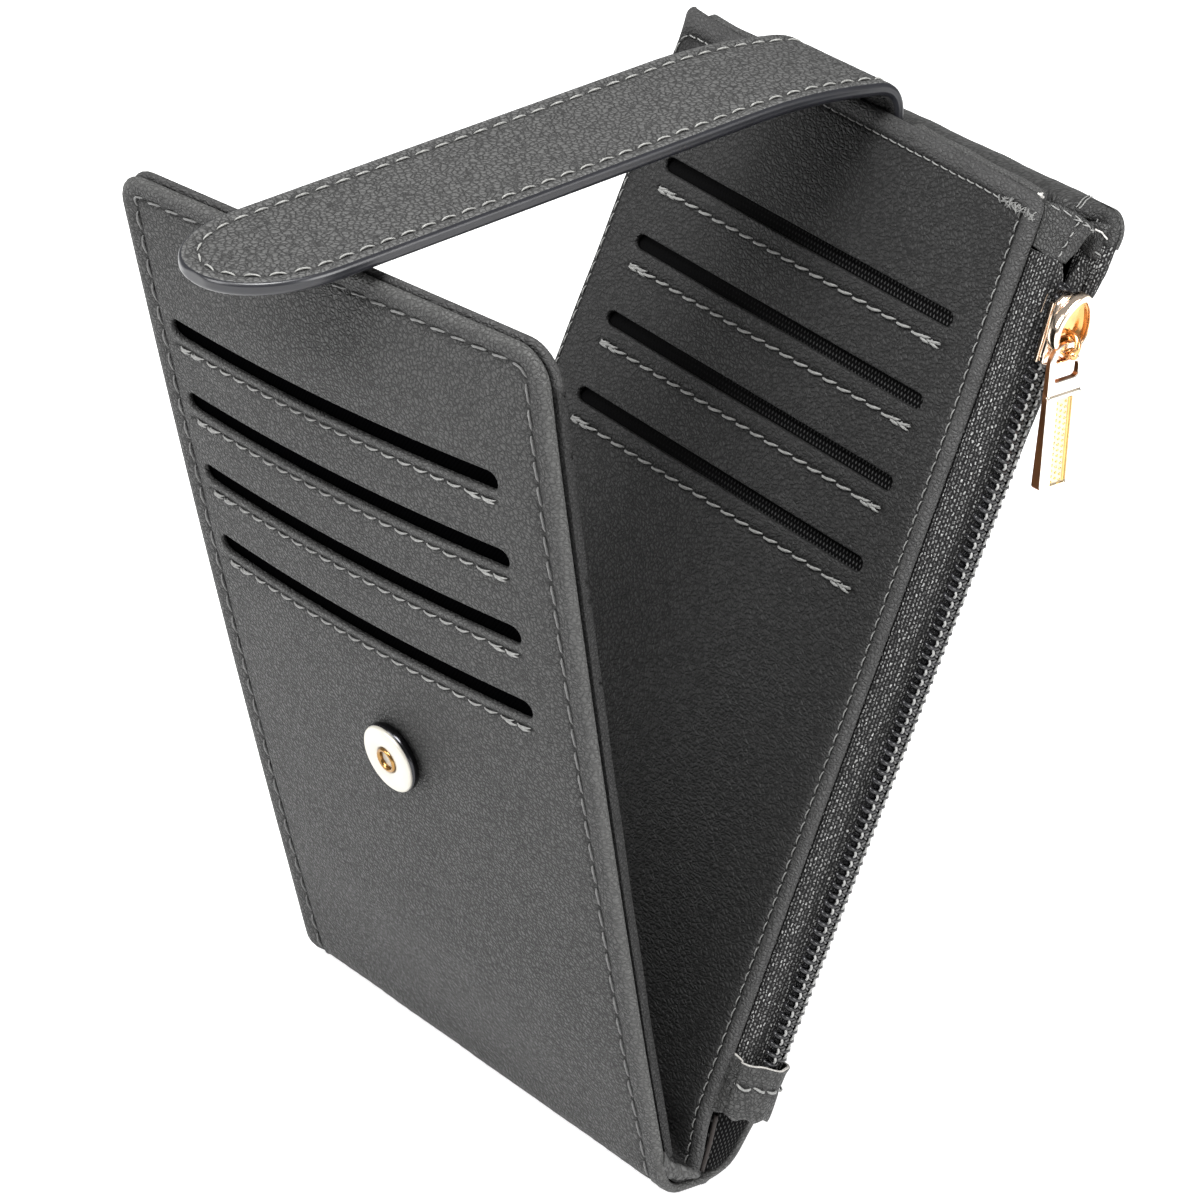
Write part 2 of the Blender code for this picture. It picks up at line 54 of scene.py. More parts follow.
# ------------------------------------------------------------------ camera
RIGHT = Vector((0.7673339, -0.6335144, 0.0992882))
DOWN = Vector((-0.1865789, -0.3687095, -0.9106270))
AHEAD = Vector((0.6135038, 0.6802300, -0.4011237))
cam = bpy.data.objects.new("camera", bpy.data.cameras.new("camera"))
scene.collection.objects.link(cam)
m = Matrix((RIGHT, -DOWN, -AHEAD)).transposed().to_4x4()
m.translation = Vector((-0.530627, -0.595677, 0.447750))
cam.matrix_world = m
cam.data.lens = 142.92
cam.data.sensor_width = 36.0
cam.data.shift_x = 0.0027
cam.data.shift_y = -0.0059
cam.data.clip_start, cam.data.clip_end = 0.05, 20.0
scene.camera = cam

# ------------------------------------------------------------------ dimensions, as in the construction
SPINE_W, HALF_W = 17.9, 55.0
LEAN, TWIST, SKEW = 0.3063, 0.0253, -0.0243
FRONT_L, BACK_T = 182.1, 13.88
BULGE, BOW, FADE = 2.92, 1.08, 25.0
SLOT_HALF, SLOT_H, SLOT_STEP = 43.53, 2.9, 15.69
BACK_SLOTS = [164.42 - i * SLOT_STEP for i in range(4)]
BACK_SLOT_V = 1.02
FRONT_SLOTS = [151.84 - i * SLOT_STEP for i in range(4)]
FRONT_SLOT_V = 3.81
SNAP_U, SNAP_V = 77.94, 1.03
STRAP_Y0, STRAP_Y1, STRAP_T = -13.5, 16.5, 2.4
BEND_TOP, BEND_FOOT, BEND_POWER = (48.0, 193.6), (57.35, 185.6), 0.82
STRAP_TIP_X = -88.4
STUD_X = -73.9
ZIP_W = -7.2
FOLD_R = 5.6
S_END = -7.9  # path length at the middle of the spine


def smooth(x):
    x = np.clip(x, 0.0, 1.0)
    return x * x * (3 - 2 * x)


def wrap(side, s, v, w):
    """A half's surface, carried round the fold to the middle of the spine. side +1 back, -1 front; w is outwards."""
    s, v, w = np.broadcast_arrays(np.asarray(s, float), np.asarray(v, float), np.asarray(w, float))
    t = LEAN + TWIST * v / HALF_W
    base, r = SPINE_W / 2, FOLD_R
    tang = r * (1 - np.sin(t)) / np.cos(t)
    turn = PI / 2 - t
    s1 = tang - r * turn
    x = base + s * np.sin(t) + w * np.cos(t)
    z = s * np.cos(t) - w * np.sin(t)
    phi = np.clip((tang - s) / r, 0, turn)
    xa = base - tang + (r + w) * np.cos(t + phi)
    za = r - (r + w) * np.sin(t + phi)
    xb = (base - tang) * (s - S_END) / (s1 - S_END)
    x = np.where(s >= tang, x, np.where(s >= s1, xa, xb))
    z = np.where(s >= tang, z, np.where(s >= s1, za, -w))
    return np.stack([side * x, v, z], -1)


def crown(u, v):
    g = smooth((FRONT_L - u) / FADE) * smooth((u - 4) / 34)
    return BULGE * (1 - (np.clip(v, -HALF_W, HALF_W) / HALF_W) ** 2) * g + BOW * 4 * np.clip(u / FRONT_L, 0, 1) * (1 - np.clip(u / FRONT_L, 0, 1)) * smooth(u / 6)


def front(u, v, w):
    u, v, w = np.broadcast_arrays(np.asarray(u, float), np.asarray(v, float), np.asarray(w, float))
    return wrap(-1, u, v, w + crown(u, v))


def skewed(u, v):
    c, s = math.cos(SKEW), math.sin(SKEW)
    return u * c - v * s, u * s + v * c


def back(u, v, w):
    u, v = skewed(np.asarray(u, float), np.asarray(v, float))
    return wrap(1, u, v, w)


def back_straight(s, v, w):
    return wrap(1, s, v, w)


def zip_v(u):
    return -56.3 - 3.5 * (u - 20.0) / 155.0


def one(f, *args):
    return np.asarray(f(*args), float).reshape(3)


ZP0, ZP1 = one(back, 20.0, -56.3, ZIP_W), one(back, 175.0, -59.8, ZIP_W)
Z_LONG = (ZP1 - ZP0) / np.linalg.norm(ZP1 - ZP0)
_n = one(back, 100, -58, 0) - one(back, 100, -58, -1)
_n /= np.linalg.norm(_n)
Z_OUT = np.cross(_n, Z_LONG)
Z_OUT /= np.linalg.norm(Z_OUT)
if Z_OUT[1] > 0:
    Z_OUT = -Z_OUT
Z_ACROSS = np.cross(Z_LONG, Z_OUT)
if Z_ACROSS @ _n < 0:
    Z_ACROSS = -Z_ACROSS


def zipf(l, o, w):
    """Zip frame: l along the chain, o outwards from the tape's face, w across."""
    l, o, w = np.broadcast_arrays(np.asarray(l, float), np.asarray(o, float), np.asarray(w, float))
    return ZP0 + (l[..., None] - 20.0) * Z_LONG + o[..., None] * Z_OUT + w[..., None] * Z_ACROSS


# ------------------------------------------------------------------ node materials
class Tree:
    def __init__(self, name, colour):
        self.mat = bpy.data.materials.new(name)
        self.mat.use_nodes = True
        self.mat.diffuse_color = (*colour, 1)
        self.t = self.mat.node_tree
        self.bsdf = self.t.nodes["Principled BSDF"]

    def node(self, kind, **values):
        n = self.t.nodes.new(kind)
        for k, v in values.items():
            setattr(n, k, v)
        return n

    def put(self, socket, value):
        if isinstance(value, bpy.types.NodeSocket):
            self.t.links.new(value, socket)
        else:
            socket.default_value = value

    def attribute(self, name):
        return self.node("ShaderNodeAttribute", attribute_name=name)

    def mapping(self, vector, scale=(1, 1, 1), rotation=(0, 0, 0), location=(0, 0, 0)):
        n = self.node("ShaderNodeMapping")
        self.put(n.inputs["Vector"], vector)
        n.inputs["Scale"].default_value = scale
        n.inputs["Rotation"].default_value = rotation
        n.inputs["Location"].default_value = location
        return n.outputs[0]

    def noise(self, vector, scale, detail=2.0, rough=0.5, distortion=0.0):
        n = self.node("ShaderNodeTexNoise")
        self.put(n.inputs["Vector"], vector)
        n.inputs["Scale"].default_value = scale
        n.inputs["Detail"].default_value = detail
        n.inputs["Roughness"].default_value = rough
        n.inputs["Distortion"].default_value = distortion
        return n.outputs["Fac"]

    def voronoi(self, vector, scale, feature="F1", smoothness=0.4, randomness=1.0, out="Distance"):
        n = self.node("ShaderNodeTexVoronoi", feature=feature)
        self.put(n.inputs["Vector"], vector)
        n.inputs["Scale"].default_value = scale
        n.inputs["Randomness"].default_value = randomness
        if feature == "SMOOTH_F1":
            n.inputs["Smoothness"].default_value = smoothness
        return n.outputs[out]

    def math(self, op, a, b=0.0, c=0.0, clamp=False):
        n = self.node("ShaderNodeMath", operation=op, use_clamp=clamp)
        self.put(n.inputs[0], a)
        self.put(n.inputs[1], b)
        if op == "MULTIPLY_ADD":
            self.put(n.inputs[2], c)
        return n.outputs[0]

    def ramp(self, fac, stops):
        n = self.node("ShaderNodeValToRGB")
        self.put(n.inputs[0], fac)
        e = n.color_ramp.elements
        while len(e) > 1:
            e.remove(e[-1])
        e[0].position, e[0].color = stops[0][0], self.rgba(stops[0][1])
        for p, c in stops[1:]:
            e.new(p).color = self.rgba(c)
        return n.outputs[0]

    @staticmethod
    def rgba(c):
        return (c, c, c, 1) if isinstance(c, (int, float)) else (*c, 1)

    def mix(self, fac, a, b, blend="MIX"):
        n = self.node("ShaderNodeMix", data_type="RGBA", blend_type=blend)
        self.put(n.inputs[0], fac)
        for i, x in ((6, a), (7, b)):
            self.put(n.inputs[i], x if isinstance(x, bpy.types.NodeSocket) else self.rgba(x))
        return n.outputs[2]

    def separate(self, vector):
        n = self.node("ShaderNodeSeparateXYZ")
        self.put(n.inputs[0], vector)
        return n.outputs

    def bump(self, height, distance, strength=1.0, normal=None):
        n = self.node("ShaderNodeBump")
        n.inputs["Strength"].default_value = strength
        n.inputs["Distance"].default_value = distance
        self.put(n.inputs["Height"], height)
        if normal is not None:
            self.put(n.inputs["Normal"], normal)
        return n.outputs[0]

    def out(self, colour, rough, normal=None, metal=0.0, specular=0.5, sheen=0.0, coat=0.0):
        b = self.bsdf
        self.put(b.inputs["Base Color"], colour if isinstance(colour, bpy.types.NodeSocket) else self.rgba(colour))
        self.put(b.inputs["Roughness"], rough)
        b.inputs["Metallic"].default_value = metal
        b.inputs["Specular IOR Level"].default_value = specular
        if sheen:
            b.inputs["Sheen Weight"].default_value = sheen
            b.inputs["Sheen Roughness"].default_value = 0.5
        if coat:
            b.inputs["Coat Weight"].default_value = coat
            b.inputs["Coat Roughness"].default_value = 0.12
        if normal is not None:
            self.put(b.inputs["Normal"], normal)
        return self.mat


def leather(name, colour, pebble=0.75, height=0.055, rough=0.55, stretch=(1.0, 0.7), angle=0.6, contrast=0.42, rim=1.35, wrinkle=0.5, spec=0.35, crease_run=0.42):
    """Pebbled leather. It reads the 'grain' attribute, which holds the piece's own surface coordinates, and 'rim', 1 at
    a turned edge, where the colour is lightened as a painted highlight. The grain's cracks are darkened as painted
    shade, and a per-vertex shade value darkens stitch channels and grooves as painted shade.
    """
    t = Tree(name, colour)
    grain = t.attribute("grain").outputs["Vector"]
    turned = t.mapping(grain, (stretch[0], stretch[1], 1.0), (0, 0, angle))
    warp = t.noise(turned, 700.0, 2.0, 0.55)
    warped = t.node("ShaderNodeVectorMath", operation="MULTIPLY_ADD")
    t.put(warped.inputs[0], t.ramp(warp, [(0.3, 0.0), (0.7, 1.0)]))
    warped.inputs[1].default_value = (0.00045, 0.00045, 0.00045)
    t.put(warped.inputs[2], turned)
    cells = t.voronoi(warped.outputs[0], 1000.0 / pebble, "DISTANCE_TO_EDGE")
    crack_shade_mask = t.ramp(cells, [(0.0, 1.0), (0.07, 0.85), (0.155, 0.25), (0.25, 0.0)])
    dome = t.ramp(cells, [(0.0, 0.0), (0.14, 0.5), (0.32, 0.88), (0.5, 1.0)])
    pore = t.ramp(t.noise(grain, 2300.0, 3.0, 0.6), [(0.3, 0.0), (0.7, 1.0)])
    crease = t.ramp(t.noise(t.mapping(grain, (1.0, crease_run, 1.0), (0, 0, angle + 0.25)), 900.0, 3.0, 0.62, 0.5), [(0.25, 0.0), (0.75, 1.0)])
    h = t.math("MULTIPLY_ADD", pore, 0.22, t.math("MULTIPLY", dome, 0.75))
    h = t.math("MULTIPLY_ADD", crease, wrinkle, h)
    normal = t.bump(h, height * MM, 1.0)
    big = t.noise(grain, 28.0, 3.0, 0.55)
    # painted shade: the cracks between the pebbles are darkened by up to 'contrast', more so in the wrinkles' low
    # parts, standing in for the shade in the grain's valleys
    painted_crack_shade = t.math("MULTIPLY", crack_shade_mask, t.math("MULTIPLY_ADD", crease, -0.5, 1.1), clamp=True)
    tone = t.mix(painted_crack_shade, colour, tuple(c * (1 - contrast) for c in colour))
    # painted shade: the wrinkles' low parts are a tenth darker
    tone = t.mix(crease, t.mix(1.0, tone, 0.90, "MULTIPLY"), t.mix(1.0, tone, 1.0, "MULTIPLY"))
    tone = t.mix(t.ramp(big, [(0.35, 0.0), (0.65, 1.0)]), t.mix(1.0, tone, 0.95, "MULTIPLY"), tone)
    # painted highlight: near a turned edge ('rim' value) the colour is lightened by the factor rim, made patchy by a
    # noise, for the light the rolled edges catch
    edge = t.attribute("rim").outputs["Fac"]
    edge_highlight = t.math("MULTIPLY", edge, t.ramp(t.noise(grain, 160.0, 2.0), [(0.25, 0.7), (0.7, 1.0)]))
    lighter = t.mix(1.0, tone, tuple(min(1.0, rim) for _ in range(3)), "MULTIPLY") if rim <= 1 else t.mix(1.0, tone, tuple(c * (rim - 1) for c in colour), "ADD")
    colour_out = t.mix(edge_highlight, tone, lighter)
    # painted shade: the per-vertex shade value darkens stitch channels, slot edges and grooves towards 0.18 of the
    # colour
    painted_groove_fac = t.math("MULTIPLY", t.attribute("seam").outputs["Fac"], 0.8, clamp=True)
    colour_out = t.mix(painted_groove_fac, colour_out, tuple(c * 0.18 for c in colour))
    r = t.ramp(h, [(0.4, rough + 0.12), (1.3, rough - 0.04)])
    return t.out(colour_out, r, normal, specular=spec)


MAT = {}
MAT["front"] = leather("front_leather", (0.0275, 0.0275, 0.0267), pebble=0.80, height=0.36, stretch=(1.0, 0.8), angle=0.75, rim=2.3, contrast=0.96, wrinkle=0.4)
MAT["back"] = leather("back_leather", (0.0375, 0.0375, 0.0366), pebble=0.75, height=0.26, stretch=(1.0, 0.9), angle=0.4, rim=1.9, contrast=0.8, wrinkle=0.3, crease_run=0.9)
# darker than the outer leather: partly its own colour, partly painted shade for faces inside the V, under the strap and
# in the fold
MAT["inner"] = leather("inner_leather_dark_with_painted_shade", (0.0136, 0.0135, 0.0134), pebble=0.80, height=0.30, angle=-0.5, rim=3.1, contrast=0.85, wrinkle=0.4, spec=0.26)
MAT["gather"] = leather("gathered_leather", (0.055, 0.055, 0.054), pebble=0.8, height=0.2, angle=0.1, contrast=0.6)
MAT["strap"] = leather("strap_leather_look", (0.070, 0.070, 0.0686), pebble=1.05, height=0.34, stretch=(1.0, 0.9), angle=0.2, contrast=0.86, wrinkle=0.3, crease_run=0.8)


def paint(name, colour):
    """Edge paint: thick, smooth and glossy, with a faint line between the two layers it covers."""
    t = Tree(name, colour)
    grain = t.attribute("grain").outputs["Vector"]
    n = t.noise(t.mapping(grain, (0.25, 1.0, 1.0)), 700.0, 2.0)
    normal = t.bump(n, 0.03 * MM, 1.0)
    c = t.mix(t.ramp(n, [(0.3, 0.0), (0.7, 1.0)]), tuple(x * 0.85 for x in colour), tuple(x * 1.2 for x in colour))
    return t.out(c, 0.3, normal, specular=0.5)


MAT["paint"] = paint("edge_paint", (0.0088, 0.0091, 0.0115))


def thread(name, colour, rough=0.6):
    t = Tree(name, colour)
    grain = t.attribute("grain").outputs["Vector"]
    n = t.noise(grain, 2500.0, 2.0)
    c = t.mix(t.ramp(n, [(0.3, 0.0), (0.7, 1.0)]), tuple(x * 0.7 for x in colour), tuple(min(1, x * 1.25) for x in colour))
    return t.out(c, rough, t.bump(n, 0.05 * MM, 1.0), specular=0.4, sheen=0.15)


MAT["thread"] = thread("sewing_thread", (0.15, 0.15, 0.145))
MAT["thread_dark"] = thread("sewing_thread_dark", (0.085, 0.085, 0.083))
MAT["thread_strap"] = thread("strap_thread", (0.20, 0.20, 0.19))
MAT["thread_light"] = thread("light_thread", (0.42, 0.41, 0.39))


def lining(name, colour, dots=None):
    """Woven pocket lining: a black cloth, a little lighter and darker in diagonal bands and fine noise."""
    t = Tree(name, colour)
    co = t.node("ShaderNodeTexCoord").outputs["Object"]
    n = t.noise(co, 900.0, 2.0)
    weave = t.node("ShaderNodeTexWave", wave_type="BANDS", bands_direction="DIAGONAL")
    t.put(weave.inputs["Vector"], co)
    weave.inputs["Scale"].default_value = 900.0
    h = t.math("ADD", n, weave.outputs["Fac"])
    c = t.mix(t.ramp(h, [(0.5, 0.0), (1.4, 1.0)]), tuple(x * 0.5 for x in colour), tuple(x * 1.5 for x in colour))
    return t.out(c, 0.9, t.bump(h, 0.03 * MM), specular=0.0)


MAT["lining"] = lining("black_lining_look", (0.0006, 0.0006, 0.0007))


def plain(name, colour, rough, metal=0.0):
    t = Tree(name, colour)
    co = t.node("ShaderNodeTexCoord").outputs["Object"]
    n = t.noise(co, 300.0, 3.0)
    c = t.mix(t.ramp(n, [(0.3, 0.0), (0.7, 1.0)]), tuple(x * 0.85 for x in colour), tuple(min(1, x * 1.12) for x in colour))
    return t.out(c, t.ramp(n, [(0.3, max(0.02, rough - 0.05)), (0.7, rough + 0.05)]), t.bump(n, 0.02 * MM), metal)


MAT["board"] = plain("board_look", (0.3, 0.27, 0.22), 0.9)
MAT["tape"] = plain("tape_look", (0.05, 0.05, 0.052), 0.8)


def weave_mat(name, dark, light, length_mm=0.95, width_mm=0.62, sheen=0.05):
    """Zip tape: staggered short floats of yarn along the tape, some of them painted much lighter as glints of yarn
    catching the light. A per-vertex shade value darkens a groove as painted shade.
    """
    t = Tree(name, dark)
    grain = t.attribute("grain").outputs["Vector"]
    wob = t.noise(grain, 900.0, 2.0)
    shift = t.node("ShaderNodeVectorMath", operation="MULTIPLY_ADD")
    t.put(shift.inputs[0], wob)
    shift.inputs[1].default_value = (0.0009, 0.0009, 0.0)
    t.put(shift.inputs[2], grain)
    brick = t.node("ShaderNodeTexBrick", offset=0.5, offset_frequency=2)
    t.put(brick.inputs["Vector"], shift.outputs[0])
    brick.inputs["Scale"].default_value = 1.0
    brick.inputs["Brick Width"].default_value = length_mm * MM
    brick.inputs["Row Height"].default_value = width_mm * MM
    brick.inputs["Mortar Size"].default_value = 0.22 * MM
    brick.inputs["Mortar Smooth"].default_value = 0.5
    brick.inputs["Color1"].default_value = (0, 0, 0, 1)
    brick.inputs["Color2"].default_value = (1, 1, 1, 1)
    brick.inputs["Mortar"].default_value = (0.5, 0.5, 0.5, 1)
    yarn = t.math("SUBTRACT", 1.0, brick.outputs["Fac"])
    # painted glint: where this noise is high a float is drawn much lighter
    spark = t.ramp(t.noise(grain, 1100.0, 2.0, 0.6), [(0.45, 0.0), (0.58, 1.0)])
    pick = t.ramp(brick.outputs["Color"], [(0.0, 0.35), (1.0, 1.0)])
    tint = t.math("MULTIPLY", yarn, t.math("MULTIPLY", pick, t.math("MULTIPLY_ADD", spark, 0.82, 0.18)))
    # painted shade: the groove beside the coil is darkened
    tint = t.math("MULTIPLY", tint, t.math("SUBTRACT", 1.0, t.math("MULTIPLY", t.attribute("seam").outputs["Fac"], 0.95), clamp=True))
    c = t.mix(tint, dark, light)
    return t.out(c, 0.7, t.bump(t.math("MULTIPLY_ADD", spark, 0.3, yarn), 0.2 * MM), specular=0.2, sheen=sheen)


MAT["weave"] = weave_mat("zip_tape_weave", (0.0012, 0.0012, 0.0014), (0.30, 0.30, 0.294))


def dotted(name):
    """Black lining cloth with light thread crossings on a staggered lattice; the crossings fade out towards the far
    side as a painted shadow.
    """
    t = Tree(name, (0.01, 0.01, 0.01))
    xyz = t.separate(t.attribute("grain").outputs["Vector"])
    a = t.math("MULTIPLY", xyz[1], 1 / (0.95 * MM))
    c = t.math("MULTIPLY", xyz[0], 1 / (1.9 * MM))
    cells = []
    for op in ("ADD", "SUBTRACT"):
        f = t.math("FRACT", t.math("ADD", t.math(op, a, c), 500.0))
        cells.append(t.math("ABSOLUTE", t.math("SUBTRACT", f, 0.5)))
    far = t.math("MAXIMUM", cells[0], cells[1])
    dot = t.ramp(far, [(0.0, 1.0), (0.17, 0.9), (0.26, 0.0)])
    # painted shadow: the dots fade out along the slot towards its far end
    shadow_fade = t.ramp(t.math("MULTIPLY_ADD", xyz[1], 1 / (90 * MM), 0.5), [(0.0, 1.0), (0.35, 0.75), (0.62, 0.12), (0.8, 0.0)])
    k = t.math("MULTIPLY", dot, shadow_fade)
    base = t.mix(k, (0.0007, 0.0007, 0.0008), (0.045, 0.045, 0.045))
    return t.out(base, 0.85, t.bump(dot, 0.1 * MM), specular=0.05)


MAT["dots"] = dotted("dotted_lining")


def nylon(name, colour):
    t = Tree(name, colour)
    co = t.attribute("grain").outputs["Vector"]
    n = t.noise(co, 400.0, 2.0)
    c = t.mix(t.ramp(n, [(0.35, 0.0), (0.65, 1.0)]), tuple(x * 0.6 for x in colour), tuple(x * 1.6 for x in colour))
    return t.out(c, 0.22, t.bump(n, 0.02 * MM), specular=0.32)


MAT["coil"] = nylon("coil_nylon", (0.010, 0.010, 0.011))
MAT["zip_thread"] = thread("zip_sewing_thread", (0.21, 0.21, 0.205))
MAT["zip_thread_dark"] = thread("zip_mark_thread", (0.075, 0.075, 0.074))
MAT["raw"] = thread("raw_leather_edge", (0.27, 0.26, 0.245))
MAT["brown"] = plain("brown_strip", (0.010, 0.0062, 0.0050), 0.7)


def metal(name, colour, rough, ripple_mm=0.02, scale=220.0, shine=1.0):
    t = Tree(name, colour)
    co = t.attribute("grain").outputs["Vector"]
    n = t.noise(co, scale, 2.0)
    c = t.mix(t.ramp(n, [(0.35, 0.0), (0.65, 1.0)]), tuple(x * 0.93 for x in colour), tuple(min(1.0, x * 1.04) for x in colour))
    return t.out(c, rough, t.bump(n, ripple_mm * MM), shine)


MAT["gold"] = metal("polished_gold", (0.86, 0.70, 0.56), 0.13)
MAT["gold_pale"] = metal("pale_gold", (0.80, 0.745, 0.66), 0.24)
# painted shade: a darker copy of the pull's gold for the floor of its recessed strip
MAT["gold_recess"] = metal("recess_gold", (0.66, 0.57, 0.42), 0.3)
# darker gold for the dots in the pull's strip and for a wire that is a painted shadow line along the strip's right side
MAT["gold_line"] = metal("line_gold", (0.62, 0.43, 0.16), 0.25)
# near-black gold used as painted shade: a bar in the pull's groove and wires inside the snap's socket
MAT["gold_dark"] = metal("groove_gold", (0.10, 0.06, 0.03), 0.4)
# painted shade: a deeper, more orange copy of the slider's gold for the hollow of its cap
MAT["gold_deep"] = metal("deep_gold", (0.74, 0.46, 0.20), 0.15)
# painted shade: a darker, copper-coloured copy of the pull's gold, used on its side faces
MAT["copper"] = metal("pull_side_painted_shade", (0.50, 0.21, 0.09), 0.3)
MAT["gunmetal"] = metal("gunmetal_look", (0.035, 0.035, 0.038), 0.16)
MAT["brass"] = metal("brass_look", (0.27, 0.155, 0.055), 0.25)
MAT["loop"] = metal("loop_gold", (0.66, 0.36, 0.15), 0.25)
MAT["steel"] = metal("steel_look", (0.55, 0.55, 0.55), 0.3)
MAT["cream"] = metal("white_gold", (0.435, 0.415, 0.365), 0.30, 0.05, 90.0, 0.25)


# ------------------------------------------------------------------ mesh helpers
class Build:
    """Collects vertices (mm), faces, per-vertex grain coordinates, rim values (a painted highlight on turned edges) and
    shade values (painted shade in grooves and stitch channels), then makes one object.
    """

    def __init__(self):
        self.v, self.f, self.g, self.r, self.m, self.s = [], [], [], [], [], []
        self.n = 0

    def add(self, verts, faces, grain=None, rim=None, mat=0, seam=None):
        verts = np.asarray(verts, float).reshape(-1, 3)
        self.v.append(verts)
        self.f += [[int(i) + self.n for i in f] for f in faces]
        self.m += [mat] * len(faces)
        self.g.append(verts if grain is None else np.asarray(grain, float).reshape(-1, 3))
        self.r.append(np.zeros(len(verts)) if rim is None else np.broadcast_to(np.asarray(rim, float), (len(verts),)))
        self.s.append(np.zeros(len(verts)) if seam is None else np.broadcast_to(np.asarray(seam, float), (len(verts),)))
        self.n += len(verts)

    def make(self, name, mats, body=None, sharp=None, replaces=()):
        mesh = bpy.data.meshes.new(name)
        verts = np.concatenate(self.v) * MM
        mesh.from_pydata(verts.tolist(), [], self.f)
        mesh.validate(clean_customdata=False)
        for mat in mats:
            mesh.materials.append(mat)
        if len(mats) > 1:
            mesh.polygons.foreach_set("material_index", np.array(self.m, np.int32))
        a = mesh.attributes.new("grain", "FLOAT_VECTOR", "POINT")
        a.data.foreach_set("vector", (np.concatenate(self.g) * MM).astype(np.float32).ravel())
        # 'rim' carries a painted highlight on turned edges; the attribute after it carries painted shade in grooves and
        # stitch channels
        a = mesh.attributes.new("rim", "FLOAT", "POINT")
        a.data.foreach_set("value", np.concatenate(self.r).astype(np.float32))
        a = mesh.attributes.new("seam", "FLOAT", "POINT")
        a.data.foreach_set("value", np.concatenate(self.s).astype(np.float32))
        mesh.shade_smooth()
        if sharp is not None:
            mesh.set_sharp_from_angle(angle=math.radians(sharp))
        mesh.update()
        ob = bpy.data.objects.new(name, mesh)
        scene.collection.objects.link(ob)
        if body:
            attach(ob, body)
        if replaces:
            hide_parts(*replaces)
        return ob


def area2(loop):
    x, y = np.asarray(loop).T
    return 0.5 * float(np.sum(x * np.roll(y, -1) - np.roll(x, -1) * y))


def ccw(loop):
    loop = np.asarray(loop, float)
    return loop if area2(loop) > 0 else loop[::-1].copy()


def resample(path, step, closed=True):
    p = np.asarray(path, float)
    q = np.vstack([p, p[:1]]) if closed else p
    d = np.linalg.norm(np.diff(q, axis=0), axis=1)
    keep = np.concatenate([[True], d > 1e-7])
    q, d = q[keep], d[d > 1e-7]
    s = np.concatenate([[0], np.cumsum(d)])
    n = max(3, int(round(s[-1] / step)))
    at = np.linspace(0, s[-1], n + 1)
    if closed:
        at = at[:-1]
    return np.stack([np.interp(at, s, q[:, k]) for k in range(q.shape[1])], 1)


def path_at(path, at):
    """Points and unit tangents on an open polyline at the path lengths at."""
    p = np.asarray(path, float)
    s = np.concatenate([[0], np.cumsum(np.linalg.norm(np.diff(p, axis=0), axis=1))])
    pos = np.stack([np.interp(at, s, p[:, k]) for k in range(p.shape[1])], -1)
    a = np.stack([np.interp(np.clip(at - 0.4, 0, s[-1]), s, p[:, k]) for k in range(p.shape[1])], -1)
    b = np.stack([np.interp(np.clip(at + 0.4, 0, s[-1]), s, p[:, k]) for k in range(p.shape[1])], -1)
    t = b - a
    return pos, t / np.maximum(np.linalg.norm(t, axis=-1, keepdims=True), 1e-9)


def length(path):
    return float(np.linalg.norm(np.diff(np.asarray(path, float), axis=0), axis=1).sum())


def sideways(path, d, closed=False):
    """The polyline moved by d to its left."""
    p = np.asarray(path, float)
    if closed:
        t = np.roll(p, -1, 0) - np.roll(p, 1, 0)
    else:
        t = np.gradient(p, axis=0)
    t /= np.maximum(np.linalg.norm(t, axis=1, keepdims=True), 1e-9)
    return p + np.stack([-t[:, 1], t[:, 0]], 1) * d


def distance(points, path, closed=False):
    a = np.asarray(path, float)
    if closed:
        a, b = a, np.roll(a, -1, 0)
    else:
        a, b = a[:-1], a[1:]
    d = b - a
    l2 = np.maximum((d * d).sum(1), 1e-12)
    out = np.empty(len(points))
    for i in range(0, len(points), 1200):
        ap = points[i : i + 1200, None, :] - a[None]
        k = np.clip((ap * d).sum(2) / l2, 0, 1)
        q = ap - k[..., None] * d
        out[i : i + 1200] = np.sqrt((q * q).sum(2).min(1))
    return out


def inside(points, loop):
    x, y = np.asarray(points).T
    hit = np.zeros(len(x), bool)
    loop = np.asarray(loop)
    for (x0, y0), (x1, y1) in zip(loop, np.roll(loop, -1, 0)):
        if y0 != y1:
            hit ^= ((y0 > y) != (y1 > y)) & (x < (x1 - x0) * (y - y0) / (y1 - y0) + x0)
    return hit


def rounded(corners, radii, step=1.0):
    out = []
    n = len(corners)
    for i in range(n):
        p, a, b = Vector(corners[i]), Vector(corners[i - 1]), Vector(corners[(i + 1) % n])
        r = radii[i]
        if r <= 0:
            out.append(tuple(p))
            continue
        d0, d1 = (a - p).normalized(), (b - p).normalized()
        half = math.acos(max(-1, min(1, d0.dot(d1)))) / 2
        off = r / math.tan(half)
        c = p + (d0 + d1).normalized() * (r / math.sin(half))
        s0, s1 = p + d0 * off, p + d1 * off
        a0 = math.atan2(s0.y - c.y, s0.x - c.x)
        a1 = math.atan2(s1.y - c.y, s1.x - c.x)
        while a1 - a0 > PI:
            a1 -= 2 * PI
        while a1 - a0 < -PI:
            a1 += 2 * PI
        k = max(4, int(abs(a1 - a0) * r / step * 2))
        out += [(c.x + r * math.cos(a0 + (a1 - a0) * j / k), c.y + r * math.sin(a0 + (a1 - a0) * j / k)) for j in range(k + 1)]
    return out


def stadium(u, v, half, height):
    r = height / 2
    k = half - r
    n = 8
    pts = [(u + r * math.cos(PI * j / n), v + k + r * math.sin(PI * j / n)) for j in range(n + 1)]
    pts += [(u - r * math.cos(PI * j / n), v - k - r * math.sin(PI * j / n)) for j in range(n + 1)]
    return pts


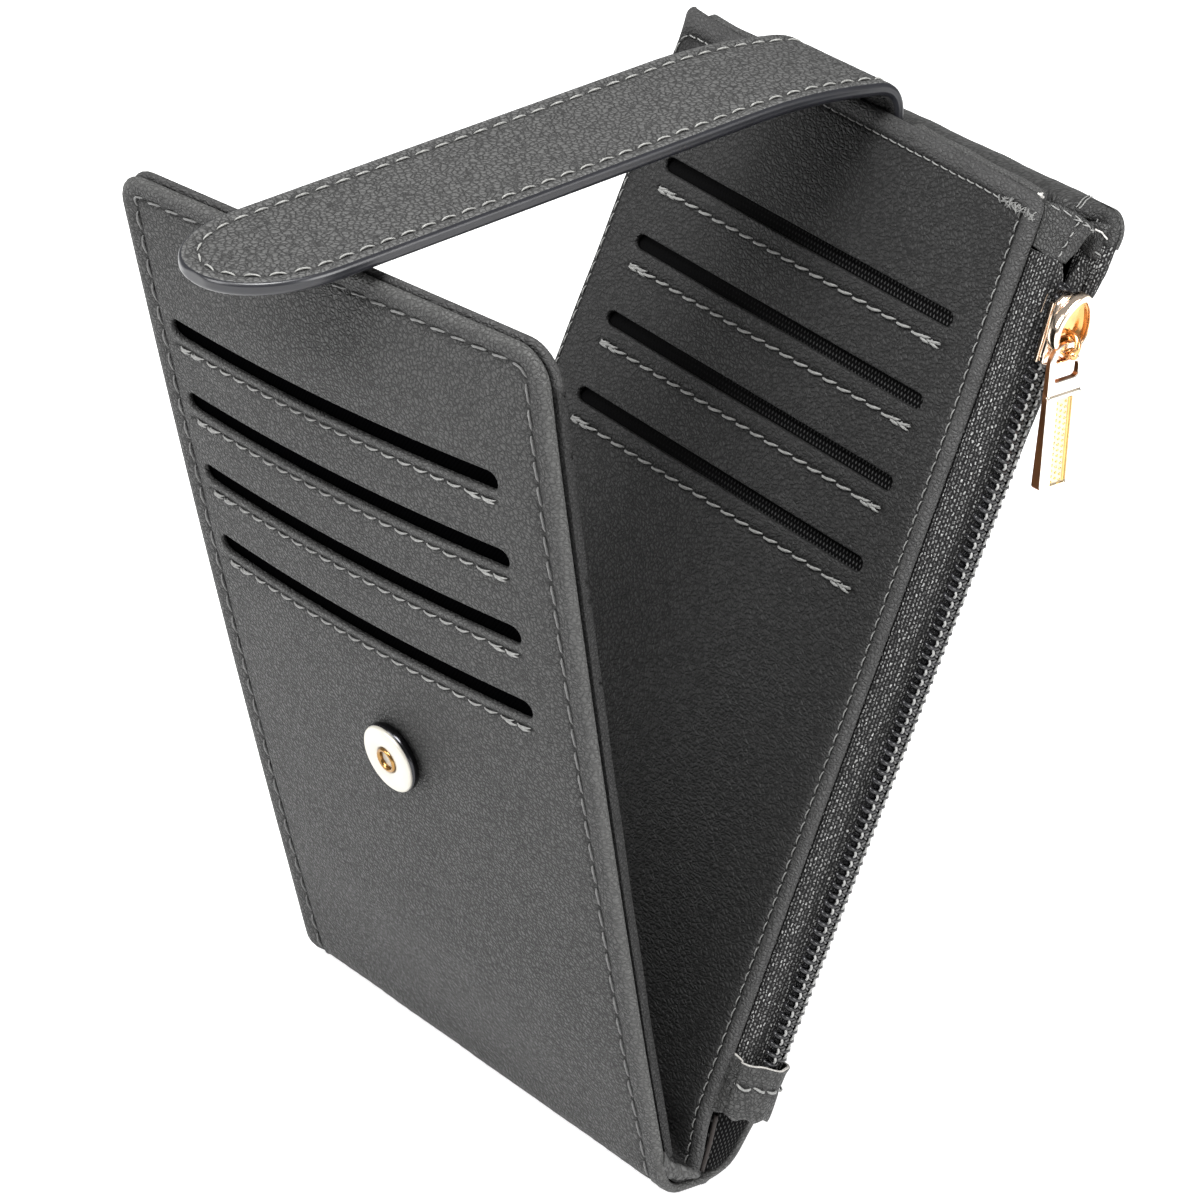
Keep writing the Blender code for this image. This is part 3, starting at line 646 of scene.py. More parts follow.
def circle2(u, v, r, n=40):
    return [(u + r * math.cos(2 * PI * j / n), v + r * math.sin(2 * PI * j / n)) for j in range(n)]


RIM_STEPS = (0.0, 0.08, 0.24, 0.5, 0.85, 1.3, 2.0, 3.0)
HOLE_STEPS = (0.0, 0.1, 0.3, 0.6, 1.0, 1.6)
LINE_STEPS = (-1.5, -0.9, -0.5, -0.2, 0.1, 0.4, 0.75, 1.2)


def panel(build, outline, holes, place, heights, grid=2.2, lines=(), step=1.3, hole_step=0.9, rim_path=None, mat=0, side_mat=None, extra=(), dark_lips=0.0, steps=(RIM_STEPS, HOLE_STEPS), rim_width=1.1, lip=0.0):
    """Adds a leather layer to build. heights(points, rim, hole, line) gives the top and bottom offsets; each line is a stitch row with a channel under it."""
    outline = resample(ccw(outline), step)
    holes = [resample(ccw(h), hole_step) for h in holes]
    loops = [outline] + holes
    pts = [p for lp in loops for p in lp]
    edges = []
    k = 0
    for lp in loops:
        edges += [(k + i, k + (i + 1) % len(lp)) for i in range(len(lp))]
        k += len(lp)
    fixed = len(pts)
    tree = kdtree.KDTree(200000)
    for i, p in enumerate(pts):
        tree.insert((p[0], p[1], 0.0), i)
    tree.balance()
    groups = []
    for d in steps[0][1:]:
        groups.append((sideways(outline, d, True), 0.07 if d < 0.3 else 0.18))
    for h in holes:
        for d in steps[1][1:]:
            groups.append((sideways(h, -d, True), 0.07 if d < 0.3 else 0.16))
    for line in lines:
        base = resample(line, 0.9, False)
        for d in LINE_STEPS:
            groups.append((sideways(base, d), 0.16))
    for e in extra:
        groups.append((np.asarray(e, float), 0.15))
    lo, hi = outline.min(0), outline.max(0)
    rows = []
    j = 0
    y = lo[1] + grid / 2
    while y < hi[1]:
        x0 = lo[0] + (grid / 2 if j % 2 else grid)
        rows.append(np.stack([np.arange(x0, hi[0], grid), np.full(len(np.arange(x0, hi[0], grid)), y)], 1))
        y += grid * 0.866
        j += 1
    groups.append((np.concatenate(rows), 0.55 * grid))
    chosen = list(pts)
    grid_hash = {}

    def cell(p, size=0.6):
        return (int(math.floor(p[0] / size)), int(math.floor(p[1] / size)))

    for i, p in enumerate(chosen):
        grid_hash.setdefault(cell(p), []).append(i)

    def clear(p, far):
        cx, cy = cell(p)
        reach = int(math.ceil(far / 0.6))
        f2 = far * far
        for a in range(cx - reach, cx + reach + 1):
            for b in range(cy - reach, cy + reach + 1):
                for i in grid_hash.get((a, b), ()):
                    q = chosen[i]
                    if (q[0] - p[0]) ** 2 + (q[1] - p[1]) ** 2 < f2:
                        return False
        return True

    for group, far in groups:
        ok = inside(group, outline)
        for h in holes:
            ok &= ~inside(group, h)
        for p in group[ok]:
            if clear(p, far):
                grid_hash.setdefault(cell(p), []).append(len(chosen))
                chosen.append(p)
    flat, _, tris, *_ = delaunay_2d_cdt([Vector((float(p[0]), float(p[1]))) for p in chosen], edges, [], 0, 1e-6)
    flat = np.array([(p.x, p.y) for p in flat])
    tris = np.array([list(f) for f in tris])
    mid = flat[tris].mean(1)
    ok = inside(mid, outline)
    for h in holes:
        ok &= ~inside(mid, h)
    tris = tris[ok]
    cross = np.cross(flat[tris[:, 1]] - flat[tris[:, 0]], flat[tris[:, 2]] - flat[tris[:, 0]])
    tris[cross < 0] = tris[cross < 0][:, ::-1]
    rim = distance(flat, outline if rim_path is None else rim_path, rim_path is None)
    hole = np.full(len(flat), 1e3)
    for h in holes:
        hole = np.minimum(hole, distance(flat, h, True))
    line = np.full(len(flat), 1e3)
    for ln in lines:
        line = np.minimum(line, distance(flat, resample(ln, 0.9, False)))
    top, bottom = heights(flat, rim, hole, line)
    top = np.broadcast_to(top, rim.shape)
    bottom = np.broadcast_to(bottom, rim.shape)
    p_top = place(flat[:, 0], flat[:, 1], top)
    p_bot = place(flat[:, 0], flat[:, 1], bottom)
    n = len(flat)
    # which way round gives an outward top face
    a, b, c = (p_top[tris[:, i]] for i in range(3))
    normal = np.cross(b - a, c - a)
    out = place(flat[:, 0], flat[:, 1], top + 1.0) - p_top
    flip = float((normal * out[tris[:, 0]]).sum()) < 0
    t_top = tris[:, ::-1] if flip else tris
    faces = [list(f) for f in t_top] + [[i + n for i in f[::-1]] for f in t_top]
    mats = [mat] * len(faces)
    # the walls along each loop; the first len(loop) points of each loop kept their order
    walls = []
    k = 0
    for lp in loops:
        idx = list(range(k, k + len(lp)))
        k += len(lp)
        for i in range(len(idx)):
            p, q = idx[i], idx[(i + 1) % len(idx)]
            quad = [p, q, q + n, p + n]
            if (lp is not outline) != flip:
                quad = quad[::-1]
            walls.append(quad[::-1] if not flip else quad[::-1])
    grain = np.concatenate([np.stack([flat[:, 0], flat[:, 1], top], 1), np.stack([flat[:, 0], flat[:, 1], bottom], 1)])
    # painted highlight: 'rim' values fall off over rim_width from the edge; with lip, a light line is also painted
    # along each slot's lower lip
    rims = np.exp(-((rim / rim_width) ** (2 if rim_width < 2 else 6)))
    # painted shade: along each stitch row and, by dark_lips, round each slot's edge
    shade_values = np.exp(-((line / 0.42) ** 2)) * smooth(rim / 1.2) + 0.55 * np.exp(-((hole / 0.5) ** 2)) * dark_lips
    if lip:
        for h in holes:
            d = distance(flat, h, True)
            below = flat[:, 0] < h[:, 0].min() + 0.2
            rims = np.maximum(rims, lip * below * (np.exp(-(((d - 1.3) / 1.2) ** 2)) + 1.5 * np.exp(-(((d - 0.35) / 0.3) ** 2))))
            shade_values = np.where(below & (d < 0.9), 0.0, shade_values)
    before = len(build.f)
    build.add(np.concatenate([p_top, p_bot]), faces + walls, grain, np.concatenate([rims, rims]), mat, np.concatenate([shade_values, shade_values]))
    if side_mat is not None:
        for i in range(before + len(faces), len(build.f)):
            build.m[i] = side_mat
    return flat


def roll(d, r):
    """How far a turned edge of radius r has dropped at distance d from the edge."""
    d = np.clip(d, 0, r)
    return r - np.sqrt(np.maximum(r * r - (r - d) ** 2, 0))


def ripple(p, size, seed):
    """Gentle unevenness of soft leather, mm, from a few fixed waves."""
    u, v = p[:, 0], p[:, 1]
    rng = np.random.RandomState(seed)
    out = np.zeros(len(u))
    for k in range(9):
        wave = rng.uniform(9, 34)
        a = rng.uniform(0, 2 * PI)
        out += np.sin(2 * PI * (u * math.cos(a) + v * math.sin(a)) / wave + rng.uniform(0, 2 * PI)) * wave / 34
    return out * size / 3.0


def tubes(build, centres, up, radius, sides=7, ply=0.16, turns=1.6, mat=0, grain=None):
    """Closed thread or wire segments. centres (n, k, 3), up (n, k, 3) surface normals, radius scalar or (k,)."""
    n, k, _ = centres.shape
    t = np.gradient(centres, axis=1)
    t /= np.maximum(np.linalg.norm(t, axis=-1, keepdims=True), 1e-9)
    b = np.cross(t, up)
    b /= np.maximum(np.linalg.norm(b, axis=-1, keepdims=True), 1e-9)
    nn = np.cross(b, t)
    th = np.arange(sides) * 2 * PI / sides
    tau = np.linspace(0, 1, k)
    r = np.broadcast_to(np.asarray(radius, float), (k,))
    mod = 1 + ply * np.cos(2 * th[None, :] - 2 * PI * turns * tau[:, None])
    rr = r[:, None] * mod
    ring = centres[:, :, None, :] + rr[None, :, :, None] * (np.cos(th)[None, None, :, None] * nn[:, :, None, :] + np.sin(th)[None, None, :, None] * b[:, :, None, :])
    verts = ring.reshape(n, k * sides, 3)
    caps = np.stack([centres[:, 0], centres[:, -1]], 1)
    verts = np.concatenate([verts, caps], 1)
    per = k * sides + 2
    faces = []
    for i in range(k - 1):
        for j in range(sides):
            j2 = (j + 1) % sides
            faces.append([i * sides + j, i * sides + j2, (i + 1) * sides + j2, (i + 1) * sides + j])
    for j in range(sides):
        j2 = (j + 1) % sides
        faces.append([k * sides, j2, j])
        faces.append([k * sides + 1, (k - 1) * sides + j, (k - 1) * sides + j2])
    faces = [[x + i * per for x in f] for i in range(n) for f in faces]
    g = None if grain is None else np.repeat(grain, per, 0)
    build.add(verts.reshape(-1, 3), faces, g, None, mat)


def stitches(build, path, place, surface, pitch, radius=0.24, bow=0.22, slant=0.12, lift=0.22, fill=0.86, side=1, start=0.0, end=0.0, mat=0, sink=-0.3, jitter=7):
    """Lockstitches along a row: each one rises from its hole, bows to one side and dives into the next."""
    total = length(path) - start - end
    count = max(1, int(round(total / pitch)))
    real = total / count
    rng = np.random.RandomState(jitter)
    a = start + real * (np.arange(count)[:, None] + (1 - fill) / 2)
    tau = np.linspace(0, 1, 10)[None, :]
    at = a + real * fill * tau
    pos, tan = path_at(path, at)
    left = np.stack([-tan[..., 1], tan[..., 0]], -1)
    wob = rng.uniform(0.75, 1.25, (count, 1))
    shift = side * (bow * np.sin(PI * tau) * wob + slant * (tau - 0.5) * 2) + rng.uniform(-0.05, 0.05, (count, 1))
    p = pos + left * shift[..., None]
    hump = np.sin(PI * tau) ** 0.55
    w = surface + sink + (lift - sink) * hump * (0.9 + 0.1 * wob)
    c = place(p[..., 0], p[..., 1], w)
    up = place(p[..., 0], p[..., 1], w + 1.0) - c
    r = radius * np.clip(np.sin(PI * np.linspace(0.06, 0.94, 10)) ** 0.3, 0.55, 1)
    tubes(build, c, up, r, mat=mat)


def channel(p, line):
    """Depth of the trough that a stitch row pulls into the leather."""
    return 0.34 * np.exp(-((line / 0.42) ** 2)) + 0.16 * np.exp(-((line / 1.3) ** 2))


# ------------------------------------------------------------------ front half
F_V0, F_V1, F_U1 = -53.4, 55.5, 180.7
F_ROW = 4.15


def front_rows(off, half=42.6):
    return [[(u - off, FRONT_SLOT_V - half), (u - off, FRONT_SLOT_V + half)] for u in FRONT_SLOTS]


E_V0, E_V1 = -53.6, 56.0  # ends of the fold
front_edge = rounded([(S_END, E_V0), (S_END, E_V1), (22, F_V1 + 0.1), (F_U1, F_V1), (F_U1, F_V0), (22, F_V0 - 0.15)], [0, 0, 60, 6.2, 6.6, 60])
front_rim = resample(np.vstack([[(S_END - 30, E_V1)], front_edge[1:], [(S_END - 30, E_V0)]]), 1.0, False)
front_seam = rounded([(-60, -48.9), (-60, 51.0), (176.9, 51.0), (176.9, -48.9)], [0, 0, 1.2, 2.5])
front_seam = [p for p in front_seam if p[0] > -59]
front_seam = [(S_END, 51.0)] + front_seam + [(S_END, -48.9)]


def front_heights(p, rim, hole, line):
    r = 0.95
    top = -roll(rim, r) - roll(hole, 0.34) * 1.0
    top = top - channel(p, line) * smooth(rim / 1.5) + ripple(p, 0.10, 3) * smooth(rim / 6) * smooth(hole / 3)
    # the band outside the stitching is padded; the lower lip of each slot is not raised here, its light line is a
    # painted highlight from the panel's lip value
    top = top + 0.22 * np.exp(-(((rim - 2.1) / 1.2) ** 2))
    thick = 1.0 + 0.88 * smooth(1 - rim / 3.8)
    bottom = np.minimum(-thick + roll(rim, r), top - 0.04)
    bottom = np.where(rim > 3.8, np.minimum(top - 0.6, -1.0), bottom)
    return top, bottom


b = Build()
front_holes = [stadium(u - 0.2, FRONT_SLOT_V, SLOT_HALF, SLOT_H + 1.0) for u in FRONT_SLOTS]
# dark_lips paints shade round the slot edges; lip paints a highlight along each slot's lower lip
panel(b, front_edge, front_holes, front, front_heights, 2.3, [front_seam] + front_rows(F_ROW), rim_path=front_rim, dark_lips=0.35, lip=0.28)
front_outer = b.make("front_outer_leather", [MAT["front"]], replaces=("front_outer_skin", "spine_leather"))
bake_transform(front_outer)

b = Build()
stitches(b, resample(front_seam, 0.5, False), front, 0.0, 4.9, side=1, bow=0.2, slant=0.2, lift=0.02, radius=0.22, fill=0.74)
front_perimeter = b.make("front_seam_thread", [MAT["thread_dark"]])
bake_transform(front_perimeter)

b = Build()
for row in front_rows(F_ROW):
    line = resample(row, 0.5, False)
    stitches(b, line, front, 0.0, 4.15, side=1, bow=0.24, slant=0.14, lift=-0.02, radius=0.2, fill=0.82)
    for a0, a1 in ((0.4, 6.8), (length(row) - 6.6, length(row) - 0.2)):
        pos, _ = path_at(line, np.linspace(a0, a1, 12))
        stitches(b, pos + np.array([-0.55, 0.0]), front, 0.0, 3.1, side=-1, bow=0.2, lift=0.14, jitter=11)
b.make("front_slot_threads", [MAT["thread"]], "front_half")


def front_in_heights(p, rim, hole, line):
    r = 0.82
    top = -2.12 - roll(rim, r)
    bottom = np.minimum(-3.8 + roll(rim, r) + ripple(p, 0.08, 5) * smooth(rim / 5), top - 0.04)
    return top, bottom


b = Build()
in_edge = rounded([(S_END, -53.0), (S_END, 55.3), (180.8, 55.3), (180.8, -53.8)], [0, 0, 6.2, 6.6])
in_rim = resample(rounded([(S_END - 30, -53.8), (S_END - 30, 55.3), (180.8, 55.3), (180.8, -53.8)], [0, 0, 6.2, 6.6])[1:], 1.0, False)
panel(b, in_edge, [], front, front_in_heights, 3.2, [], rim_path=in_rim)
front_inner = b.make("front_inner_leather", [MAT["inner"]], replaces=("front_inner_skin", "spine_lining"))
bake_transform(front_inner)

# ------------------------------------------------------------------ back half
B_U1, B_V0 = 191.4, -53.4
FAR_V, FAR_R, FAR_WALL = 53.0, 2.6, 9.9  # where the inner panel turns down at the far side, its radius, its drop


def back_in(u, v, w):
    """The inner panel: flat, then turned down at the far side towards the cover. w is measured outwards from its inner face."""
    u, v, w = np.broadcast_arrays(np.asarray(u, float), np.asarray(v, float), np.asarray(w, float))
    arc = FAR_R * PI / 2
    phi = np.clip((v - FAR_V) / FAR_R, 0, PI / 2)
    over = np.maximum(v - FAR_V - arc, 0)
    flat_v = np.minimum(v, FAR_V)
    # inwards normal of the panel is -w; round the turn it becomes +v
    d = -w  # distance proud of the panel, to the inside of the V
    vv = flat_v + (FAR_R + d) * np.sin(phi)
    ww = -BACK_T + (FAR_R - (FAR_R + d) * np.cos(phi)) + over
    vv = np.where(v <= FAR_V, v, vv)
    ww = np.where(v <= FAR_V, -BACK_T - d, ww)
    su, sv = skewed(u, vv)
    ww = ww + 2.2 * smooth((14.0 - u) / 13.0)
    t = LEAN + TWIST * sv / HALF_W
    return np.stack([SPINE_W / 2 + su * np.sin(t) + ww * np.cos(t), sv, su * np.cos(t) - ww * np.sin(t)], -1)


FAR_END = FAR_V + FAR_R * PI / 2 + FAR_WALL
B_ROW = 4.9


def back_rows(off=B_ROW, half=42.9):
    return [[(u - off, BACK_SLOT_V - half), (u - off, BACK_SLOT_V + half)] for u in BACK_SLOTS]


inner_edge = rounded([(-0.4, B_V0), (-0.4, FAR_END), (B_U1 - 2.0, FAR_END), (B_U1 + 1.7, FAR_V + 2.4), (B_U1 + 0.8, 42.0), (B_U1 + 0.6, -20.0), (B_U1 - 0.1, B_V0)], [2.0, 2.0, 3.0, 0.6, 20.0, 60.0, 2.6])
inner_seam = rounded([(1.5, -50.5), (1.5, 53.4), (188.0, 53.4), (188.0, -49.0), (150.0, -50.4), (90.0, -50.9)], [0, 0, 3.0, 0.6, 40, 40])
inner_seam = [(1.5, 53.4)] + [p for p in inner_seam if p[0] > 4] + [(1.5, -50.5)]


def inner_heights(p, rim, hole, line):
    # the top side is the visible inner face: w = 0 there and inwards of the V is negative w, so heights are mirrored below
    r = 0.82
    face = roll(rim, r) + roll(hole, 0.34) + channel(p, line) * smooth(rim / 1.5)
    face = face + 0.35 * np.exp(-((rim / 0.7) ** 2)) - 0.22 * np.exp(-(((rim - 1.9) / 1.1) ** 2)) + ripple(p, 0.09, 8) * smooth(rim / 6) * smooth(hole / 3)
    under = 1.0 + 0.62 * smooth(1 - rim / 3.4) - roll(rim, r) * 1.0
    under = np.maximum(under, face + 0.04)
    return under, face


b = Build()
inner_holes = [stadium(u, BACK_SLOT_V, SLOT_HALF, SLOT_H) for u in BACK_SLOTS]
# dark_lips paints shade round the slot edges; lip paints a highlight along each slot's lower lip
panel(b, inner_edge, inner_holes, back_in, inner_heights, 2.3, [inner_seam] + back_rows(), dark_lips=0.5, rim_width=3.6, lip=0.10)
back_inner = b.make("back_inner_leather", [MAT["inner"]], "back_half", replaces=("back_inner_skin",))

b = Build()
stitches(b, resample(inner_seam, 0.5, False), back_in, 0.0, 2.5, side=-1, bow=0.05, slant=0.08, lift=-0.03, sink=0.25, radius=0.135, fill=0.8)
b.make("back_seam_thread", [MAT["thread"]], "back_half")
b = Build()
for row in back_rows():
    line = resample(row, 0.5, False)
    stitches(b, line, back_in, 0.0, 4.2, side=1, bow=0.1, slant=0.22, lift=-0.2, sink=0.3, radius=0.27, fill=0.88)
    for a0, a1 in ((0.2, 5.6), (length(row) - 5.8, length(row) - 0.2)):
        pos, _ = path_at(line, np.linspace(a0, a1, 12))
        stitches(b, pos + np.array([-0.5, 0.0]), back_in, 0.0, 2.7, side=-1, bow=0.2, lift=-0.42, sink=0.2, radius=0.26, jitter=11)
        stitches(b, pos + np.array([0.35, 0.0]), back_in, 0.0, 2.7, side=1, bow=0.15, lift=-0.36, sink=0.2, radius=0.24, jitter=13)
b.make("back_slot_threads", [MAT["thread"]], "back_half")

# cover
C_U1 = 192.9


def sk(u, v):
    a, c = skewed(np.float64(u), np.float64(v))
    return (float(a), float(c))


TOP_FALL = 0.018  # the cover's top edge drops this much per mm towards the far side


def top_u(v):
    return C_U1 - TOP_FALL * (v + 50.0)


cover_corners = [(S_END, E_V0), (S_END, E_V1), sk(top_u(57.0) - 1.6, 57.0), sk(top_u(42.0), 42.0), sk(top_u(-62.8), -62.8), sk(187.5, -62.4), sk(184, -61.2), sk(178, -60.6), sk(168, -58.7), sk(150, -57.7), sk(30, -54.5), (20, -54.3), (10.8, -53.7), (6.6, -52.9), (2.6, -52.2), (-1.6, -52.2), (-5.5, -53.1)]
COVER_R = [0, 0, 12.0, 30.0, 4.2, 3.0, 5.0, 8.0, 12.0, 30.0, 20.0, 10.0, 10.0, 10.0, 4.0, 4.0, 6.0]
cover_edge = rounded(cover_corners, COVER_R)
cover_rim = resample(np.vstack([[(S_END - 30, E_V1)], cover_edge[1:], [(S_END - 30, E_V0)]]), 1.0, False)
cover_seam = rounded([(-60, -49.2), (-60, 52.0), sk(185.4, 52.4), sk(187.0, 42.0), sk(188.6, -57.6), sk(165, -54.6), sk(150, -53.6), sk(30, -50.4), (10, -48.9), (0, -47.2)], [0, 0, 6.0, 20, 2.0, 12, 20, 20, 12, 12])
cover_seam = [(S_END, 52.0)] + [p for p in cover_seam if p[0] > -7] + [(S_END, -49.2)]


def cover_heights(p, rim, hole, line):
    r = 0.9
    top = -roll(rim, r) - channel(p, line) * smooth(rim / 1.5) + ripple(p, 0.1, 12) * smooth(rim / 6)
    top = top + 0.18 * np.exp(-(((rim - 2.1) / 1.2) ** 2))
    bottom = np.minimum(-(1.2 + 0.6 * smooth(1 - rim / 3.4)) + roll(rim, r), top - 0.04)
    return top, bottom


b = Build()
panel(b, cover_edge, [], back_straight, cover_heights, 2.6, [cover_seam], rim_path=cover_rim)
back_cover = b.make("back_cover_leather", [MAT["back"]], replaces=("back_cover",))
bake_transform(back_cover)
b = Build()
stitches(b, resample(cover_seam, 0.5, False), back_straight, 0.0, 4.9, side=1, bow=0.2, slant=0.1, lift=0.02, radius=0.22)
cover_thread = b.make("cover_seam_thread", [MAT["thread_dark"]])
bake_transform(cover_thread)

# ------------------------------------------------------------------ strap
ARM_SLOPE, ARM_Z, ARM_X = 0.168, 174.7, -83.0


def arm_height(x):
    return ARM_Z + ARM_SLOPE * (x - ARM_X) - 0.004 * np.maximum(0.0, x - 20.0) ** 2


_x = np.arange(STRAP_TIP_X - 0.4, 47.7, 1.0)
_arm = np.stack([_x, arm_height(_x)], 1)
_t = np.linspace(PI / 2, 0, 25)
_bend = np.stack([BEND_TOP[0] + (BEND_FOOT[0] - BEND_TOP[0]) * np.cos(_t) ** BEND_POWER, BEND_FOOT[1] + (BEND_TOP[1] - BEND_FOOT[1]) * np.sin(_t) ** BEND_POWER], 1)
_tail = np.array([(57.35 - 0.3016 * k, 185.6 - 0.9534 * k) for k in (1.0, 2.5, 4.0, 6.0, 8.0, 9.5)])
STRAP_PATH = resample(np.vstack([_arm, _bend[1:], _tail]), 0.6, False)
STRAP_S = np.concatenate([[0], np.cumsum(np.linalg.norm(np.diff(STRAP_PATH, axis=0), axis=1))])
_sm = np.ones(9) / 9


def strap(q, y, w):
    """q from the tip along the strap's top surface, y across, w up from the top surface."""
    q, y, w = np.broadcast_arrays(np.asarray(q, float), np.asarray(y, float), np.asarray(w, float))
    x = np.interp(q, STRAP_S, STRAP_PATH[:, 0])
    z = np.interp(q, STRAP_S, STRAP_PATH[:, 1])
    a, c = np.clip(q - 1.2, 0, STRAP_S[-1]), np.clip(q + 1.2, 0, STRAP_S[-1])
    dx = np.interp(c, STRAP_S, STRAP_PATH[:, 0]) - np.interp(a, STRAP_S, STRAP_PATH[:, 0])
    dz = np.interp(c, STRAP_S, STRAP_PATH[:, 1]) - np.interp(a, STRAP_S, STRAP_PATH[:, 1])
    g = np.hypot(dx, dz)
    x = x - dz / g * w
    z = z + dx / g * w
    shear = smooth((x - BEND_TOP[0]) / (BEND_FOOT[0] - BEND_TOP[0]))
    return np.stack([x + 0.091 * y * shear, y, z], -1)


STRAP_L = float(STRAP_S[-1])


def strap_outline(inset=0.0):
    r = 14.6 - inset
    lo, hi = STRAP_Y0 + inset, STRAP_Y1 - inset
    tip = inset
    k = 17
    out = []
    # a round, slightly pointed tip
    for j in range(k + 1):
        a = PI / 2 * j / k
        out.append((tip + (r + 5.0) * (1 - math.cos(a) ** 0.92), (hi + lo) / 2 + (hi - lo) / 2 * math.sin(a) ** 0.97))
    upper = out
    lower = [(q, hi + lo - y) for q, y in upper]
    return lower, upper


lower, upper = strap_outline()
strap_edge = lower[::-1] + upper[1:]
strap_edge = [(STRAP_L, STRAP_Y0)] + strap_edge + [(STRAP_L, STRAP_Y1)]
lower, upper = strap_outline(2.9)
strap_seam = [(STRAP_L, STRAP_Y0 + 2.9)] + lower[::-1] + upper[1:] + [(STRAP_L, STRAP_Y1 - 2.9)]


def strap_top_heights(p, rim, hole, line):
    top = -roll(rim, 0.4) * 0.9 - channel(p, line) * 0.8 * smooth(rim / 1.5) + ripple(p, 0.05, 21) * smooth(rim / 5)
    top = top + 0.10 * np.exp(-(((rim - 1.4) / 0.9) ** 2))
    return top, np.minimum(-1.1, top - 0.3)


def strap_low_heights(p, rim, hole, line):
    bottom = -STRAP_T + roll(rim, 0.4) * 0.9 + channel(p, line) * 0.6 * smooth(rim / 1.5) + ripple(p, 0.05, 22) * smooth(rim / 5)
    return -1.1, np.maximum(np.minimum(bottom, -1.5), -STRAP_T - 0.1)


b = Build()
panel(b, strap_edge, [], strap, strap_top_heights, 1.7, [strap_seam], step=0.9, side_mat=1)
strap_top = b.make("strap_top_leather", [MAT["strap"], MAT["paint"]], replaces=("strap_top", "strap_bend"))
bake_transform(strap_top)
b = Build()
panel(b, strap_edge, [circle2((STUD_X - STRAP_TIP_X + 0.4) * 1.014, 1.5, 2.0)], strap, strap_low_heights, 2.2, [strap_seam], step=0.9, side_mat=1)
strap_low = b.make("strap_lining_leather", [MAT["inner"], MAT["paint"]], replaces=("strap_lining",))
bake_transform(strap_low)

b = Build()
seam_line = resample(strap_seam, 0.5, False)
stitches(b, seam_line, strap, 0.0, 4.3, side=-1, bow=0.12, slant=0.12, lift=0.06, radius=0.185, fill=0.66)
strap_thread = b.make("strap_seam_thread", [MAT["thread_strap"]])
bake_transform(strap_thread)


# painted edge: a rounded band round both sides and the tip
b = Build()
rim_line = resample(strap_edge, 0.8, False)
t2 = np.gradient(rim_line, axis=0)
t2 /= np.linalg.norm(t2, axis=1, keepdims=True)
outn = np.stack([t2[:, 1], -t2[:, 0]], 1)
if (outn[len(outn) // 2] * np.array([1, 0])).sum() > 0:
    outn = -outn
prof = [(-0.55, -0.04), (-0.1, -0.02), (0.16, -0.22), (0.34, -0.55), (0.40, -0.85), (0.33, -1.12), (0.40, -1.4), (0.38, -1.75), (0.18, -2.12), (-0.1, -2.38), (-0.55, -2.38)]
rows = []
for o, w in prof:
    q = rim_line + outn * o
    rows.append(strap(q[:, 0], q[:, 1], np.full(len(q), w)))
rows = np.stack(rows, 0)
k, n = rows.shape[:2]
faces = [[i * n + j, i * n + j + 1, (i + 1) * n + j + 1, (i + 1) * n + j] for i in range(k - 1) for j in range(n - 1)]
grain = np.zeros((k, n, 3))
grain[..., 0] = np.arange(n)[None] * 0.8
grain[..., 1] = np.array([w for _, w in prof])[:, None]
b.add(rows.reshape(-1, 3), faces, grain.reshape(-1, 3))
strap_paint = b.make("strap_edge_paint", [MAT["paint"]])
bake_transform(strap_paint)

# ------------------------------------------------------------------ shapes made from sections
def slab(build, top, under, grain=None, rim=None, mat=0, side_mat=None, seam=None):
    """A closed sheet between two grids of points (m, n, 3)."""
    m, n = top.shape[:2]
    c = m * n

    def at(i, j, k=0):
        return k * c + i * n + j

    faces = []
    for i in range(m - 1):
        for j in range(n - 1):
            faces.append([at(i, j), at(i, j + 1), at(i + 1, j + 1), at(i + 1, j)])
            faces.append([at(i, j, 1), at(i + 1, j, 1), at(i + 1, j + 1, 1), at(i, j + 1, 1)])
    main = len(faces)
    for j in range(n - 1):
        faces.append([at(0, j), at(0, j, 1), at(0, j + 1, 1), at(0, j + 1)])
        faces.append([at(m - 1, j), at(m - 1, j + 1), at(m - 1, j + 1, 1), at(m - 1, j, 1)])
    for i in range(m - 1):
        faces.append([at(i, 0), at(i + 1, 0), at(i + 1, 0, 1), at(i, 0, 1)])
        faces.append([at(i, n - 1), at(i, n - 1, 1), at(i + 1, n - 1, 1), at(i + 1, n - 1)])
    e1, e2 = top[m // 2, min(n // 2 + 1, n - 1)] - top[m // 2, n // 2], top[min(m // 2 + 1, m - 1), n // 2] - top[m // 2, n // 2]
    if np.cross(e1, e2) @ (top[m // 2, n // 2] - under[m // 2, n // 2]) < 0:
        faces = [f[::-1] for f in faces]
    if grain is None:
        grain = np.concatenate([top, under])
    else:
        grain = np.concatenate([np.asarray(grain, float).reshape(m, n, 3)] * 2)
    both = lambda x: None if x is None else np.concatenate([np.broadcast_to(x, (m, n)).ravel()] * 2)
    first = len(build.f)
    build.add(np.concatenate([top.reshape(-1, 3), under.reshape(-1, 3)]), faces, grain, both(rim), mat, both(seam))
    if side_mat is not None:
        for i in range(first + main, len(build.f)):
            build.m[i] = side_mat


